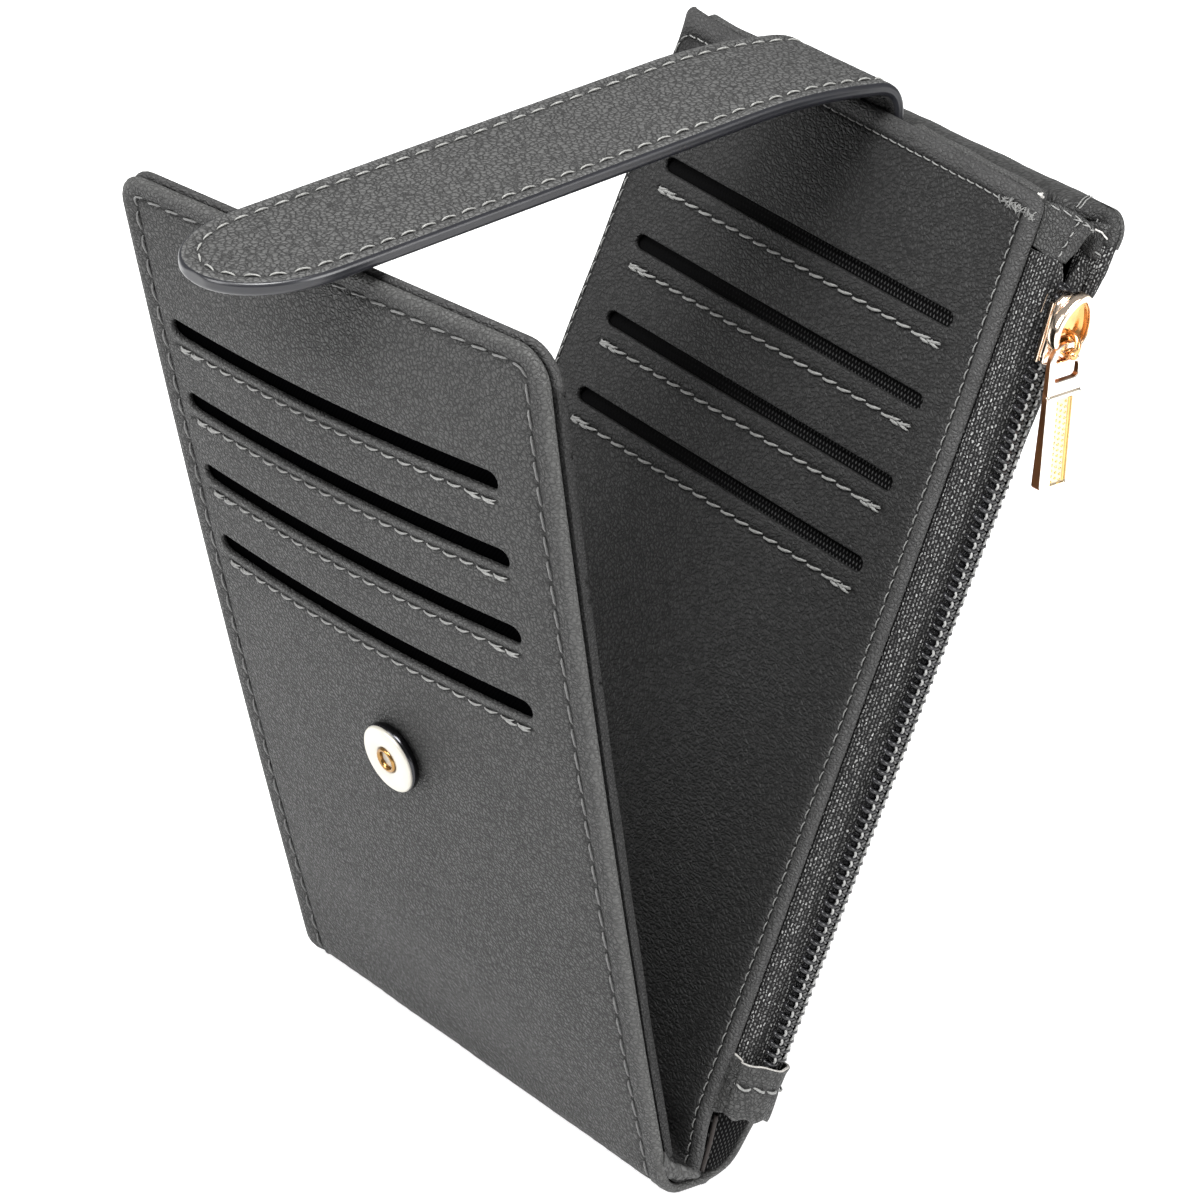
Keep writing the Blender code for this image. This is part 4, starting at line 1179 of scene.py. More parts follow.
def sweep(build, rings, grain=None, mat=0, rim=None, seam=None):
    """Closed rings (m, n, 3) joined in order, with both ends capped."""
    m, n = rings.shape[:2]
    faces = [[i * n + j, i * n + (j + 1) % n, (i + 1) * n + (j + 1) % n, (i + 1) * n + j] for i in range(m - 1) for j in range(n)]
    faces += [list(range(n))[::-1], [(m - 1) * n + j for j in range(n)]]
    centre = rings[m // 2].mean(0)
    e1, e2 = rings[m // 2, 1] - rings[m // 2, 0], rings[min(m // 2 + 1, m - 1), 0] - rings[m // 2, 0]
    probe = 0.0
    for j in range(n):
        a, b2 = rings[m // 2, j], rings[m // 2, (j + 1) % n]
        d = rings[min(m // 2 + 1, m - 1), j] - a
        probe += float(np.cross(b2 - a, d) @ ((a + b2) / 2 - centre))
    if probe < 0:
        faces = [f[::-1] for f in faces]
    build.add(rings.reshape(-1, 3), faces, grain, rim, mat, seam)


def soften(path, times=2):
    p = np.asarray(path, float)
    for _ in range(times):
        q = np.empty((2 * len(p), p.shape[1]))
        q[0], q[-1] = p[0], p[-1]
        q[1:-1:2] = p[:-1] * 0.75 + p[1:] * 0.25
        q[2:-1:2] = p[:-1] * 0.25 + p[1:] * 0.75
        p = q
    return p


def lathe(build, profile, centre, axis, n=64, mat=0, tilt=None):
    axis = np.asarray(axis, float) / np.linalg.norm(axis)
    ref = np.array([0.0, 1.0, 0.0]) if abs(axis[1]) < 0.9 else np.array([1.0, 0.0, 0.0])
    e1 = np.cross(axis, ref)
    e1 /= np.linalg.norm(e1)
    e2 = np.cross(axis, e1)
    th = np.arange(n) * 2 * PI / n
    rows = [centre + axis * h + r * (np.cos(th)[:, None] * e1 + np.sin(th)[:, None] * e2) for r, h in profile]
    verts = np.concatenate(rows)
    k = len(profile)
    faces = [[i * n + j, i * n + (j + 1) % n, (i + 1) * n + (j + 1) % n, (i + 1) * n + j] for i in range(k - 1) for j in range(n)]
    area_sum = sum(profile[i][0] * profile[(i + 1) % k][1] - profile[(i + 1) % k][0] * profile[i][1] for i in range(k))
    closed = profile[0] == profile[-1]
    if not closed:
        faces += [list(range(n))[::-1], [(k - 1) * n + j for j in range(n)]]
    # outward: the face between rows i and i+1 points away from the profile's inside
    mid = [(profile[i][0] + profile[i + 1][0]) / 2 for i in range(k - 1)]
    i = int(np.argmax(mid))
    a, b2, d = verts[i * n], verts[i * n + 1], verts[(i + 1) * n]
    outward = (a - centre) - axis * ((a - centre) @ axis)
    if np.cross(b2 - a, d - a) @ outward < 0:
        faces = [f[::-1] for f in faces]
    build.add(verts, faces, None, None, mat)


def ball(build, centre, r, mat=0, n=10, squash=(1, 1, 1)):
    profile = [(max(1e-3, r * math.sin(PI * i / n)), -r * math.cos(PI * i / n)) for i in range(n + 1)]
    b0 = build.n
    lathe(build, profile, np.asarray(centre, float), (0, 0, 1), 14, mat)


def wire(build, path, radius, sides=10, mat=0, closed=False):
    """A round wire along a 3-D path."""
    p = np.asarray(path, float)
    m = len(p)
    if closed:
        t = np.roll(p, -1, 0) - np.roll(p, 1, 0)
    else:
        t = np.gradient(p, axis=0)
    t /= np.maximum(np.linalg.norm(t, axis=1, keepdims=True), 1e-9)
    ref = np.array([0.3, -0.2, 0.93])
    nrm = np.cross(t[0], ref)
    nrm /= np.linalg.norm(nrm)
    frames = []
    for i in range(m):
        nrm = nrm - t[i] * (nrm @ t[i])
        nrm /= np.linalg.norm(nrm)
        frames.append(nrm.copy())
    frames = np.array(frames)
    bi = np.cross(t, frames)
    th = np.arange(sides) * 2 * PI / sides
    r = np.broadcast_to(np.asarray(radius, float), (m,))
    rings = p[:, None, :] + r[:, None, None] * (np.cos(th)[None, :, None] * frames[:, None, :] + np.sin(th)[None, :, None] * bi[:, None, :])
    if not closed:
        sweep(build, rings, mat=mat)
        return
    faces = [[i * sides + j, i * sides + (j + 1) % sides, ((i + 1) % m) * sides + (j + 1) % sides, ((i + 1) % m) * sides + j] for i in range(m) for j in range(sides)]
    if np.cross(rings[0, 1] - rings[0, 0], rings[1, 0] - rings[0, 0]) @ (rings[0, 0] - p[0]) < 0:
        faces = [f[::-1] for f in faces]
    build.add(rings.reshape(-1, 3), faces, None, None, mat)


# ------------------------------------------------------------------ closed top of the pocket, and the divider's edge beside it
def cover_path():
    a = np.array(sk(C_U1, 56.0))
    head = rounded([sk(top_u(56.2) - 1.6, 56.2), sk(top_u(42.0), 42.0), sk(top_u(-57.9), -57.9)], [0, 30.0, 0])
    pts = resample(head, 3.0, False).tolist()
    corner = rounded([sk(top_u(0.0), 0), sk(top_u(-62.8), -62.8), sk(180, -62.0)], [0, 4.2, 0], 0.6)[1:-1]
    return np.array(pts + [list(p) for p in corner if p[1] < pts[-1][1] - 0.4] + resample([sk(188.4, -62.55), sk(186.9, -62.4)], 0.8, False).tolist())


b = Build()
path = cover_path()
d = np.gradient(path, axis=0)
d /= np.linalg.norm(d, axis=1, keepdims=True)
nrm = np.stack([-d[:, 1], d[:, 0]], 1)
if nrm[2][0] < 0:
    nrm = -nrm
run = np.concatenate([[0], np.cumsum(np.linalg.norm(np.diff(path, axis=0), axis=1))])
v_here = path[:, 1]
wide = 8.7 - 5.4 * smooth((-v_here - 56.6) / 5.0)
fade_end = smooth((run[-1] - run) / 4.0)
outer_p = [(-3.0, 0.02), (-2.2, 0.12), (-0.9, 0.16), (-0.25, 0.02), (0.1, -0.35), (0.22, -0.8), (0.2, -1.4)]
inner_f = [(0.06, 0.26), (-0.12, 0.42), (-0.36, 0.58), (-0.72, 0.72), (-1.25, 0.82), (-2.1, 0.88), (-3.6, 0.9)]
rings = []
for i in range(len(path)):
    wv = wide[i]
    sec = [(e, w) for e, w in outer_p] + [(e * (0.4 + 0.6 * wv / 8.7), -f * wv) for e, f in inner_f]
    back_side = [(e - 0.85, w * 0.97 + (0.0 if w < -1 else -0.9)) for e, w in sec[::-1]]
    sec = np.array(sec + back_side)
    wob = 0.10 * math.sin(run[i] * 0.31 + 0.6) + 0.06 * math.sin(run[i] * 0.9)
    uv = path[i][None] + nrm[i][None] * (sec[:, :1] + wob * (sec[:, 1:] < -0.6))
    rings.append(back_straight(uv[:, 0], uv[:, 1], sec[:, 1]))
rings = np.array(rings)
g = np.zeros(rings.shape)
g[..., 0] = run[:, None]
g[..., 1] = np.cumsum(np.concatenate([[0], np.linalg.norm(np.diff(sec, axis=0), axis=1)]))[None]
# painted highlight on the band's rolled top edge ('rim'), painted shade on its inner face where it drops to the groove
rim_v = np.zeros(rings.shape[:2])
rim_v[:, 2:8] = 0.5
groove_shade = np.zeros(rings.shape[:2])
groove_shade[:, 10:14] = (0.3, 0.7, 1.0, 1.0)
groove_shade[:, 14:18] = 1.0
sweep(b, rings, g.reshape(-1, 3), 0, rim_v.ravel(), groove_shade.ravel())
# divider: a folded edge between the band and the inner panel
for v0, v1 in ((-50.2, -12.5), (24.0, 51.5)):
    vs = resample([(v0, 0), (v1, 0)], 1.6, False)[:, 0]
    vs = np.concatenate([[v0, v0 + 0.25, v0 + 0.7], vs[vs > v0 + 1.0][:-1], [v1 - 0.3, v1]])
    rings = []
    for v in vs:
        k = math.sqrt(max(0.02, 1 - max(0.0, 1 - (v - v0) / 1.3) ** 2)) * math.sqrt(max(0.05, 1 - max(0.0, 1 - (v1 - v) / 1.0) ** 2))
        a = np.linspace(0, PI, 13)
        wc = -10.35
        crest = 189.6 + 0.010 * (v + 50.0) + (2.55 + 0.12 * math.sin(v * 0.4)) * k * np.sin(a) ** 0.6
        ww = wc - 1.72 * k * np.cos(a)
        sec = [(186.0, wc - 1.72 * k)] + list(zip(crest, ww)) + [(186.0, wc + 1.72 * k)]
        sec = np.array(sec)
        rings.append(back(sec[:, 0], np.full(len(sec), v), sec[:, 1]))
    rings = np.array(rings)
    g = np.zeros(rings.shape)
    g[..., 0] = vs[:, None]
    g[..., 1] = np.linspace(0, 8, rings.shape[1])[None]
    # painted highlight on the divider's crest, painted shade on its shoulders
    rim_v = np.zeros(rings.shape[:2])
    rim_v[:, 4:12] = 0.6
    groove_shade = np.zeros(rings.shape[:2])
    groove_shade[:, 0:4] = (1.0, 1.0, 0.9, 0.35)
    groove_shade[:, -3:] = 1.0
    sweep(b, rings, g.reshape(-1, 3), 0, rim_v.ravel(), groove_shade.ravel())
pocket_top = b.make("pocket_top_leather", [MAT["back"], MAT["inner"]], "back_half", replaces=("pocket_divider",))

# bottom of the pocket, inside the fold
b = Build()
prof = resample(soften([(S_END, -3.9), (-1.0, -3.9), (3.0, -4.3), (6.2, -6.0), (8.3, -9.6), (9.6, -13.3)], 3), 0.9, False)
vs = np.linspace(-53.0, 55.0, 32)
dd = np.gradient(prof, axis=0)
dd /= np.linalg.norm(dd, axis=1, keepdims=True)
pn = np.stack([dd[:, 1], -dd[:, 0]], 1)
if pn[0][1] > 0:
    pn = -pn
fold_v = lambda v: v + 2.4 * smooth((prof[:, 0] + 7.5) / 6.0) * smooth((-20.0 - v) / 33.0)
top = np.stack([back_straight(prof[:, 0], fold_v(v), prof[:, 1]) for v in vs])
low = prof - pn * 0.8
under = np.stack([back_straight(low[:, 0], fold_v(v), low[:, 1]) for v in vs])
g = np.zeros(top.shape)
g[..., 0] = np.arange(len(prof))[None] * 0.9
g[..., 1] = vs[:, None]
slab(b, top, under, g)
fold_lining = b.make("fold_lining_leather", [MAT["inner"]])
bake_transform(fold_lining)

# ------------------------------------------------------------------ zip
PART_AT, PART_TO = 177.0, 188.0


def parted(l):
    return smooth((l - PART_AT) / (PART_TO - PART_AT))


def chain_shift(u):
    """The coils sit a little towards the cover, except where the slider runs."""
    return 1.15 * (1 - smooth((u - 140.0) / 24.0))


def tape_surface(side, us, count, thick=0.5, ribs=0.055):
    tops, unders, grains, dips = [], [], [], []
    for u in us:
        z = zip_v(u)
        p = float(parted(np.float64(u)))
        c = float(chain_shift(np.float64(u)))
        if side < 0:
            pts = [(-50.5, -12.15), (-52.8, -12.15), (-54.3, -11.95), (z + 1.6, c - 11.0 - 0.3 * p), (z + 0.9 + 0.4 * p, c - 10.2 - 0.8 * p), (z + 0.58 + 1.2 * p, c - 9.3 - 1.9 * p), (z + 0.5 + 2.2 * p, c - 7.62 - 2.9 * p)]
        else:
            k = 1.0 - p
            pts = [(z + 0.5 + 2.0 * p, c - 6.78 + 3.6 * p), (z + 0.58 + 1.0 * p, c - 5.3 + 2.5 * p), (z + 0.5 + 0.6 * p, c - 4.6 + 1.9 * p), (z - 0.75 * k + 0.7 * p, c - 4.12 + 1.5 * p), (z - 0.5 * k + 0.8 * p, 0.8 * c - 3.5 + 0.9 * p), (z + 1.3, -2.45), (z + 3.4, -2.15), (z + 6.0, -2.05)]
        sec = resample(soften(pts, 3), 1.0, False)
        s_len = length(sec)
        at = np.linspace(0, s_len, count)
        pos, tan = path_at(sec, at)
        n2 = np.stack([tan[:, 1], -tan[:, 0]], 1)
        if n2[:, 0].sum() > 0:
            n2 = -n2
        lift = ribs * np.cos(2 * PI * at / 0.62)
        # dip: a groove in the inner tape beside the coil, pressed in and also darkened as painted shade
        dip = 0.75 * np.exp(-(((s_len - at - 2.6) / 0.42) ** 2)) * (1 - p) if side < 0 else 0 * at
        lift = lift - 0.4 * dip
        q = pos + n2 * lift[:, None]
        r = pos - n2 * thick
        tops.append(back(np.full(count, u), q[:, 0], q[:, 1]))
        unders.append(back(np.full(count, u), r[:, 0], r[:, 1]))
        grains.append(np.stack([np.full(count, u), at if side < 0 else s_len - at, np.zeros(count)], 1))
        dips.append(dip)
    return np.array(tops), np.array(unders), np.array(grains), np.array(dips)


us = np.concatenate([np.arange(16.4, 176.0, 2.4), np.arange(176.0, 189.6, 0.9)])
b = Build()
for side in (-1, 1):
    top, under, g, dips = tape_surface(side, us[us < 182.4] if side < 0 else us, 33)
    slab(b, top, under, g, seam=dips)
# the outer tape's end, brought round the cover's edge beside the mouth
ee = np.linspace(174.5, 188.2, 16)
rim_v = np.interp(ee, [174.5, 178.0, 182.0, 188.2], [-60.4, -61.4, -62.2, -62.5])
seat = smooth((ee - 174.5) / 3.0)
rows_t, rows_u = [], []
for u, e, k in zip(ee, rim_v, seat):
    z = zip_v(u)
    pts = np.array(soften([(z + 1.2, -3.2), (z - 0.1, -2.95), (e + 0.5, -2.5), (e, -1.7), (e + 0.15, -0.5), (e + 1.3, 0.25)], 2))
    pts[:, 0] += (1 - k) * 1.0
    sec = path_at(pts, np.linspace(0, length(pts), 14))[0]
    rows_t.append(back(np.full(14, u), sec[:, 0] + 0.05 * np.sin(np.arange(14) * 2.1 + u), sec[:, 1]))
    rows_u.append(back(np.full(14, u), sec[:, 0] + 0.45, sec[:, 1] - 0.15))
gg = np.stack(np.broadcast_arrays(ee[:, None], np.linspace(0, 6.4, 14)[None], 0.0), -1)
slab(b, np.array(rows_t), np.array(rows_u), gg)
b.make("zip_tapes", [MAT["weave"]], "back_half", replaces=("zip_tape_inner", "zip_tape_outer"))

# coils: one loop of nylon wire per tooth, the two sides in turn
PITCH = 1.9
b = Build()
for side in (-1, 1):
    ls = np.arange(26.0 + (0.0 if side < 0 else PITCH / 2), 178.6, PITCH)
    shape = np.array([(2.35, 0.30, 0.30), (2.42, 0.85, 0.12), (2.05, 1.30, 0.02), (1.45, 1.48, -0.02), (0.75, 1.50, -0.02), (0.15, 1.46, 0.0), (-0.28, 1.12, 0.04), (-0.30, 0.66, 0.1), (0.1, 0.36, 0.2), (1.2, 0.28, 0.4)])
    p = parted(ls)
    c = []
    for w, o, dl in shape:
        c.append(zipf(ls + dl * PITCH, o - 1.6 * p - 0.9 * p * p, side * (w + 3.3 * p) + chain_shift(ls)))
    c = np.stack(c, 1)
    up = np.broadcast_to(Z_LONG, c.shape)
    radius = np.array([0.40, 0.42, 0.44, 0.44, 0.46, 0.52, 0.50, 0.42, 0.38, 0.36])
    tubes(b, c, up, radius, sides=7, ply=0.0)
b.make("zip_coils", [MAT["coil"]], "back_half", replaces=("zip_coil_inner", "zip_coil_outer"))
# the two lines of sewing that hold the coils, and the marks between the rows
b = Build()
for side in (-1, 1):
    ls = np.arange(27.0 + (0.0 if side < 0 else PITCH / 2), 177.0, PITCH)
    n = len(ls)
    tau = np.linspace(0, 1, 7)
    rng = np.random.RandomState(31 + side)
    L = ls[:, None] + (tau[None] - 0.5) * 1.3 + rng.uniform(-0.06, 0.06, (n, 1))
    W = side * (1.15 + rng.uniform(-0.07, 0.07, (n, 1)) + 0.2 * (tau[None] - 0.5)) + chain_shift(L)
    O = 1.66 + (0.36 + rng.uniform(-0.05, 0.08, (n, 1))) * np.sin(PI * tau)[None]
    c = zipf(L, O, W)
    tubes(b, c, np.broadcast_to(Z_OUT, c.shape), np.array([0.14, 0.22, 0.25, 0.26, 0.25, 0.22, 0.14]), sides=6, ply=0.1, mat=0)
ls = np.arange(27.0 + PITCH / 4, 176.0, PITCH / 2)
n = len(ls)
tau = np.linspace(0, 1, 6)
flip = np.where(np.arange(n) % 2 == 0, 1.0, -1.0)[:, None]
L = ls[:, None] + (tau[None] - 0.5) * 0.5
W = flip * (tau[None] - 0.5) * 0.9 + chain_shift(L)
O = 1.72 + 0.22 * np.sin(PI * tau)[None] + 0 * L
c = zipf(L, O, W)
tubes(b, c, np.broadcast_to(Z_OUT, c.shape), np.array([0.1, 0.15, 0.17, 0.17, 0.15, 0.1]), sides=6, ply=0.1, mat=1)
b.make("zip_sewing", [MAT["zip_thread"], MAT["zip_thread_dark"]], "back_half")

# dark sheet behind the zip in the black lining material, standing in for the shade inside the closed pocket: painted
# shade
b = Build()
us2 = np.array([17.0, 28.0, 40.0, 80.0, 120.0, 160.0, 180.0, 187.0])
ws = np.linspace(-11.1, -1.9, 9)
top = np.stack([back(np.full(9, u), np.full(9, zip_v(u) + 5.2), ws) for u in us2])
under = np.stack([back(np.full(9, u), np.full(9, zip_v(u) + 5.8), ws) for u in us2])
slab(b, top, under)
b.make("zip_shade_sheet", [MAT["lining"]], "back_half")

# end tab, folded over the lower end of the zip
TAB = resample(soften([(-51.2, -12.5), (-53.2, -12.75), (-55.0, -12.7), (-56.7, -11.9), (-58.1, -10.0), (-58.75, -7.4), (-58.6, -4.8), (-57.9, -3.0), (-56.4, -2.0), (-54.2, -1.9)], 3), 0.35, False)
TAB_L = length(TAB)


def tab(u, a, h):
    u, a, h = np.broadcast_arrays(np.asarray(u, float), np.asarray(a, float), np.asarray(h, float))
    pos, tan = path_at(TAB, a)
    n2 = np.stack([tan[..., 1], -tan[..., 0]], -1)
    n2 = np.where(n2[..., :1] + 0.4 * -n2[..., 1:] > 0, -n2, n2)
    q = pos + n2 * h[..., None]
    return back(u, q[..., 0], q[..., 1])


def tab_top(a):
    return 25.5 - 0.2 * a / TAB_L + 0.22 * np.sin(a * 0.9)


def tab_low(a):
    return 14.6 + 0.4 * a / TAB_L + 0.35 * np.sin(a * 1.55 + 0.8)


b = Build()
aa = np.linspace(0.0, TAB_L, 46)
tt = np.array([0, 0.02, 0.06, 0.14, 0.24, 0.34, 0.42, 0.5, 0.56, 0.6, 0.64, 0.68, 0.74, 0.82, 0.9, 0.96, 1.0])
row_t = 0.60
U = tab_low(aa)[None] * (1 - tt[:, None]) + tab_top(aa)[None] * tt[:, None]
A = np.broadcast_to(aa[None], U.shape)
H = 0.55 + 0.08 * np.sin(A * 2.1 + U * 0.5) - 0.32 * np.exp(-(((U - U[9][None]) / 0.45) ** 2))
H = H + 0.25 * smooth((tt[:, None] - 0.86) / 0.14) - 0.15 * smooth((0.1 - tt[:, None]) / 0.1)
top = tab(U, A, H)
under = tab(U, A, H - 0.85)
g = np.stack([U, A, 0 * U], -1)
# painted highlight along the tab's lower folded edge; painted shade in the groove of its stitch row
rim_t = np.broadcast_to(np.exp(-(((tt[:, None] - 0.0) / 0.03) ** 2)) * 0.9, U.shape)
tab_stitch_shade = np.exp(-(((U - U[9][None]) / 0.5) ** 2))
slab(b, top, under, g, rim_t, seam=tab_stitch_shade)
b.make("zip_end_tab_leather", [MAT["back"]], "back_half", replaces=("zip_end_tab",))
b = Build()
edge_u = tab_top(aa)
hh = 0.55 + 0.08 * np.sin(aa * 2.1 + edge_u * 0.5) + 0.25
wire(b, tab(edge_u + 0.03, aa, hh - 0.26), 0.17, 6)
wire(b, tab(edge_u + 0.05, aa, hh - 0.5), 0.14, 6)
b.make("zip_end_tab_raw_edge", [MAT["raw"]], "back_half")
b = Build()
line = np.stack([np.interp(aa, aa, U[9]), aa], 1)
stitches(b, resample(line[4:-5], 0.4, False), lambda u, a, w: tab(u, a, w + 0.5), 0.0, 3.4, side=1, bow=0.25, slant=0.1, lift=0.25, radius=0.25)
b.make("zip_end_tab_thread", [MAT["thread"]], "back_half")

# leather facing between the inner panel's corner and the pocket's mouth
b = Build()
F_TOP = np.array([(191.0, -52.6, -12.6), (191.3, -54.6, -12.3), (191.3, -56.4, -11.2), (191.0, -58.2, -9.6), (190.5, -59.3, -8.0), (189.8, -60.0, -6.3), (189.2, -59.9, -5.6), (188.9, -58.9, -5.3)])
F_LOW = np.array([(182.9, -52.6, -12.4), (182.8, -54.4, -12.15), (182.4, -56.0, -11.5), (181.9, -57.4, -10.8), (182.2, -58.5, -10.0), (182.1, -59.1, -9.0), (182.1, -58.9, -8.5), (182.0, -57.8, -8.3)])
ft = soften(F_TOP, 2)
fl = soften(F_LOW, 2)
tt = np.linspace(0, 1, 15)[:, None, None]
P = ft[None] * (1 - tt) + fl[None] * tt
P[..., 2] += 0.25 * np.sin(P[..., 0] * 1.3) * np.exp(-(((P[..., 1] + 58) / 2.0) ** 2))
top = back(P[..., 0], P[..., 1] - 0.25, P[..., 2])
under = back(P[..., 0], P[..., 1] + 0.55, P[..., 2] - 0.1)
g = np.stack([P[..., 0], P[..., 1] - P[..., 2], 0 * P[..., 0]], -1)
q = np.linspace(0, 1, P.shape[1])
# painted highlight on a band of the facing; painted shade along its middle stitch row
rim_f = np.broadcast_to(np.exp(-(((q - 0.86) / 0.10) ** 2))[None], P.shape[:2])
facing_stitch_shade = np.broadcast_to(np.exp(-(((q - 0.50) / 0.035) ** 2))[None], P.shape[:2])
slab(b, top, under, g, rim_f, seam=facing_stitch_shade)
# outer side of the mouth
O_TOP = np.array([(190.0, -57.8, -4.4), (190.4, -59.6, -4.1), (190.6, -60.6, -3.3), (190.6, -61.0, -2.6), (190.2, -60.6, -1.7)])
O_LOW = np.array([(184.6, -57.4, -4.0), (184.2, -59.2, -3.7), (184.0, -60.3, -3.0), (184.0, -60.7, -2.5), (184.0, -60.2, -1.7)])
ot, ol = soften(O_TOP, 2), soften(O_LOW, 2)
tt = np.linspace(0, 1, 9)[:, None, None]
P2 = ot[None] * (1 - tt) + ol[None] * tt
top = back(P2[..., 0], P2[..., 1] - 0.2, P2[..., 2])
under = back(P2[..., 0], P2[..., 1] + 0.5, P2[..., 2] - 0.1)
g = np.stack([P2[..., 0], P2[..., 1] - P2[..., 2], 0 * P2[..., 0]], -1)
slab(b, top, under, g)
mouth_leather = b.make("pocket_mouth_leather", [MAT["back"]], "back_half", replaces=("zip_facing_inner", "zip_facing_outer"))

# threads at the open end: a tack at the inner panel's corner, the facing's seams, a knot on the divider
b = Build()


def run_of(points, place_, pitch, mat=0, **kw):
    stitches(b, resample(points, 0.4, False), place_, 0.0, pitch, mat=mat, **kw)


def facing(s, t, h):
    s, t, h = np.broadcast_arrays(np.asarray(s, float), np.asarray(t, float), np.asarray(h, float))
    i = np.clip(s, 0, 1) * (len(ft) - 1)
    a = np.stack([np.interp(i, np.arange(len(ft)), ft[:, k]) for k in range(3)], -1)
    c = np.stack([np.interp(i, np.arange(len(fl)), fl[:, k]) for k in range(3)], -1)
    p = a * (1 - t[..., None]) + c * t[..., None]
    return back(p[..., 0], p[..., 1] - 0.3 - h, p[..., 2])


def facing_mm(x, y, w):
    return facing(np.asarray(x) / 12.0, np.asarray(y) / 9.0, np.asarray(w))


run_of([(6.0, 0.5), (6.0, 8.8)], facing_mm, 1.9, side=1, bow=0.06, slant=0.12, lift=0.12, radius=0.13, fill=0.7)
run_of([(1.6, 0.7), (10.2, 0.55)], facing_mm, 1.7, side=1, bow=0.1, slant=0.18, lift=0.16, radius=0.14, fill=0.8)
run_of([(5.2, 0.9), (9.6, 0.8)], facing_mm, 1.5, side=-1, bow=0.1, slant=0.2, lift=0.2, radius=0.13)
rng = np.random.RandomState(9)
for k in range(70):
    q = rng.uniform(0, 1)
    u0 = 188.1 - 0.5 * q + rng.uniform(-0.55, 0.55)
    v0 = -43.0 - 9.8 * q + rng.uniform(-0.4, 0.4)
    ang = rng.uniform(-0.9, 0.9) + (PI / 2 if rng.uniform() < 0.55 else 0.0)
    half = rng.uniform(0.4, 0.85)
    x = np.linspace(-half, half, 6)
    hgt = 0.06 + 0.22 * (1 - (x / half) ** 2) * rng.uniform(0.5, 1.2)
    c = back_in(u0 + x * math.sin(ang), v0 + x * math.cos(ang), -hgt)
    wire(b, c, rng.uniform(0.07, 0.11), 5, mat=2 if rng.uniform() < 0.6 else 0)


def surface_of(*obs):
    verts, polys = [], []
    for ob in obs:
        k = len(verts)
        verts += [tuple(v.co / MM) for v in ob.data.vertices]
        polys += [[i + k for i in p.vertices] for p in ob.data.polygons]
    return BVHTree.FromPolygons([Vector(v) for v in verts], polys)


def laid(points, lift, tree):
    """Points moved onto the nearest surface and raised off it."""
    out = []
    for p in np.asarray(points, float):
        at, normal, _, _ = tree.find_nearest(Vector(p))
        out.append(np.array(at + normal * lift))
    return np.array(out)


end_tree = surface_of(pocket_top, mouth_leather)
for k, (p0, p1) in enumerate((((193.4, -51.8, -0.9), (191.4, -54.7, -6.4)), ((193.3, -52.5, -0.9), (191.3, -55.3, -6.2)), ((192.6, -56.4, -0.9), (189.6, -58.4, -4.2)), ((192.3, -57.0, -0.9), (189.3, -59.0, -3.9)))):
    t3 = np.linspace(0, 1, 12)[:, None]
    a = np.array(p0)[None] * (1 - t3) + np.array(p1)[None] * t3
    c = laid(back(a[:, 0], a[:, 1], a[:, 2]), 0.13, end_tree)
    wire(b, soften(c, 1), 0.12, 6, mat=0)
x = np.linspace(-1.9, 1.9, 9)
c = back(191.0 + 0.25 - 0.35 * (np.abs(x) / 1.9) ** 3 * 2, -46.0 + 0.1 * x, -10.65 + x)
wire(b, c, 0.15, 6, mat=0)
rng = np.random.RandomState(4)
for k in range(7):
    a = rng.uniform(-1, 1, (4, 3)) * np.array([0.75, 0.6, 0.55])
    c = back(191.0, -49.6, -11.1)[None] + soften(a, 2) * 0.95
    wire(b, c, 0.26, 6, mat=1)
for k, (p0, p1) in enumerate((((189.0, -60.9, -4.9), (187.9, -61.4, -2.2)), ((185.2, -60.8, -4.6), (185.0, -61.4, -1.9)))):
    t3 = np.linspace(0, 1, 9)[:, None]
    a = np.array(p0)[None] * (1 - t3) + np.array(p1)[None] * t3
    wire(b, laid(back(a[:, 0], a[:, 1], a[:, 2]), 0.12, end_tree), 0.16, 6, mat=1 - k)
b.make("open_end_threads", [MAT["thread"], MAT["thread_light"], MAT["thread_dark"]], "back_half")

# cloth side of the pocket, below the tab
b = Build()
left_xz = soften([(2.0, 19.0), (0.9, 13.7), (0.4, 8.7), (-0.4, 5.1), (-0.9, 2.9)], 2)
left_xz = resample(left_xz, length(left_xz) / 15.0, False)[:15]
left = np.stack([left_xz[:, 0], np.full(15, -53.1), left_xz[:, 1]], -1)
rs = np.linspace(18.5, -3.0, 15)
right = back_straight(rs, np.interp(rs, [-6, -1.6, 2.6, 6.6, 10.8, 20.0], [-53.0, -52.2, -51.9, -52.6, -53.5, -54.2]) + 0.35, np.full(15, -1.75))
q = np.linspace(0, 1, 12)[None, :, None]
top = left[:, None] * (1 - q) + right[:, None] * q
top[..., 1] -= 0.7 * np.sin(PI * q[..., 0]) ** 0.6
slab(b, top, top + np.array([0.0, 0.6, 0.0]), np.stack(np.broadcast_arrays(top[..., 2], top[..., 0] - 30.0, 0.0), -1))
end_cloth = b.make("pocket_end_cloth", [MAT["dots"]])
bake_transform(end_cloth)
b = Build()
strip = resample(soften([(1.2, 14.6), (0.8, 11.6), (0.4, 8.6), (-0.2, 5.6), (-0.7, 3.4)], 2), 0.6, False)
ww = np.linspace(0, 1, 5)[None]
top = np.stack([strip[:, None, 0] + 0.75 * ww, -53.5 - 0.45 * np.sin(PI * ww) + 0 * strip[:, None, 0], strip[:, None, 1] + 0 * ww], -1)
slab(b, top, top + np.array([0.0, 0.5, 0.0]))
end_strip = b.make("pocket_end_strip", [MAT["brown"]])
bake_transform(end_strip)
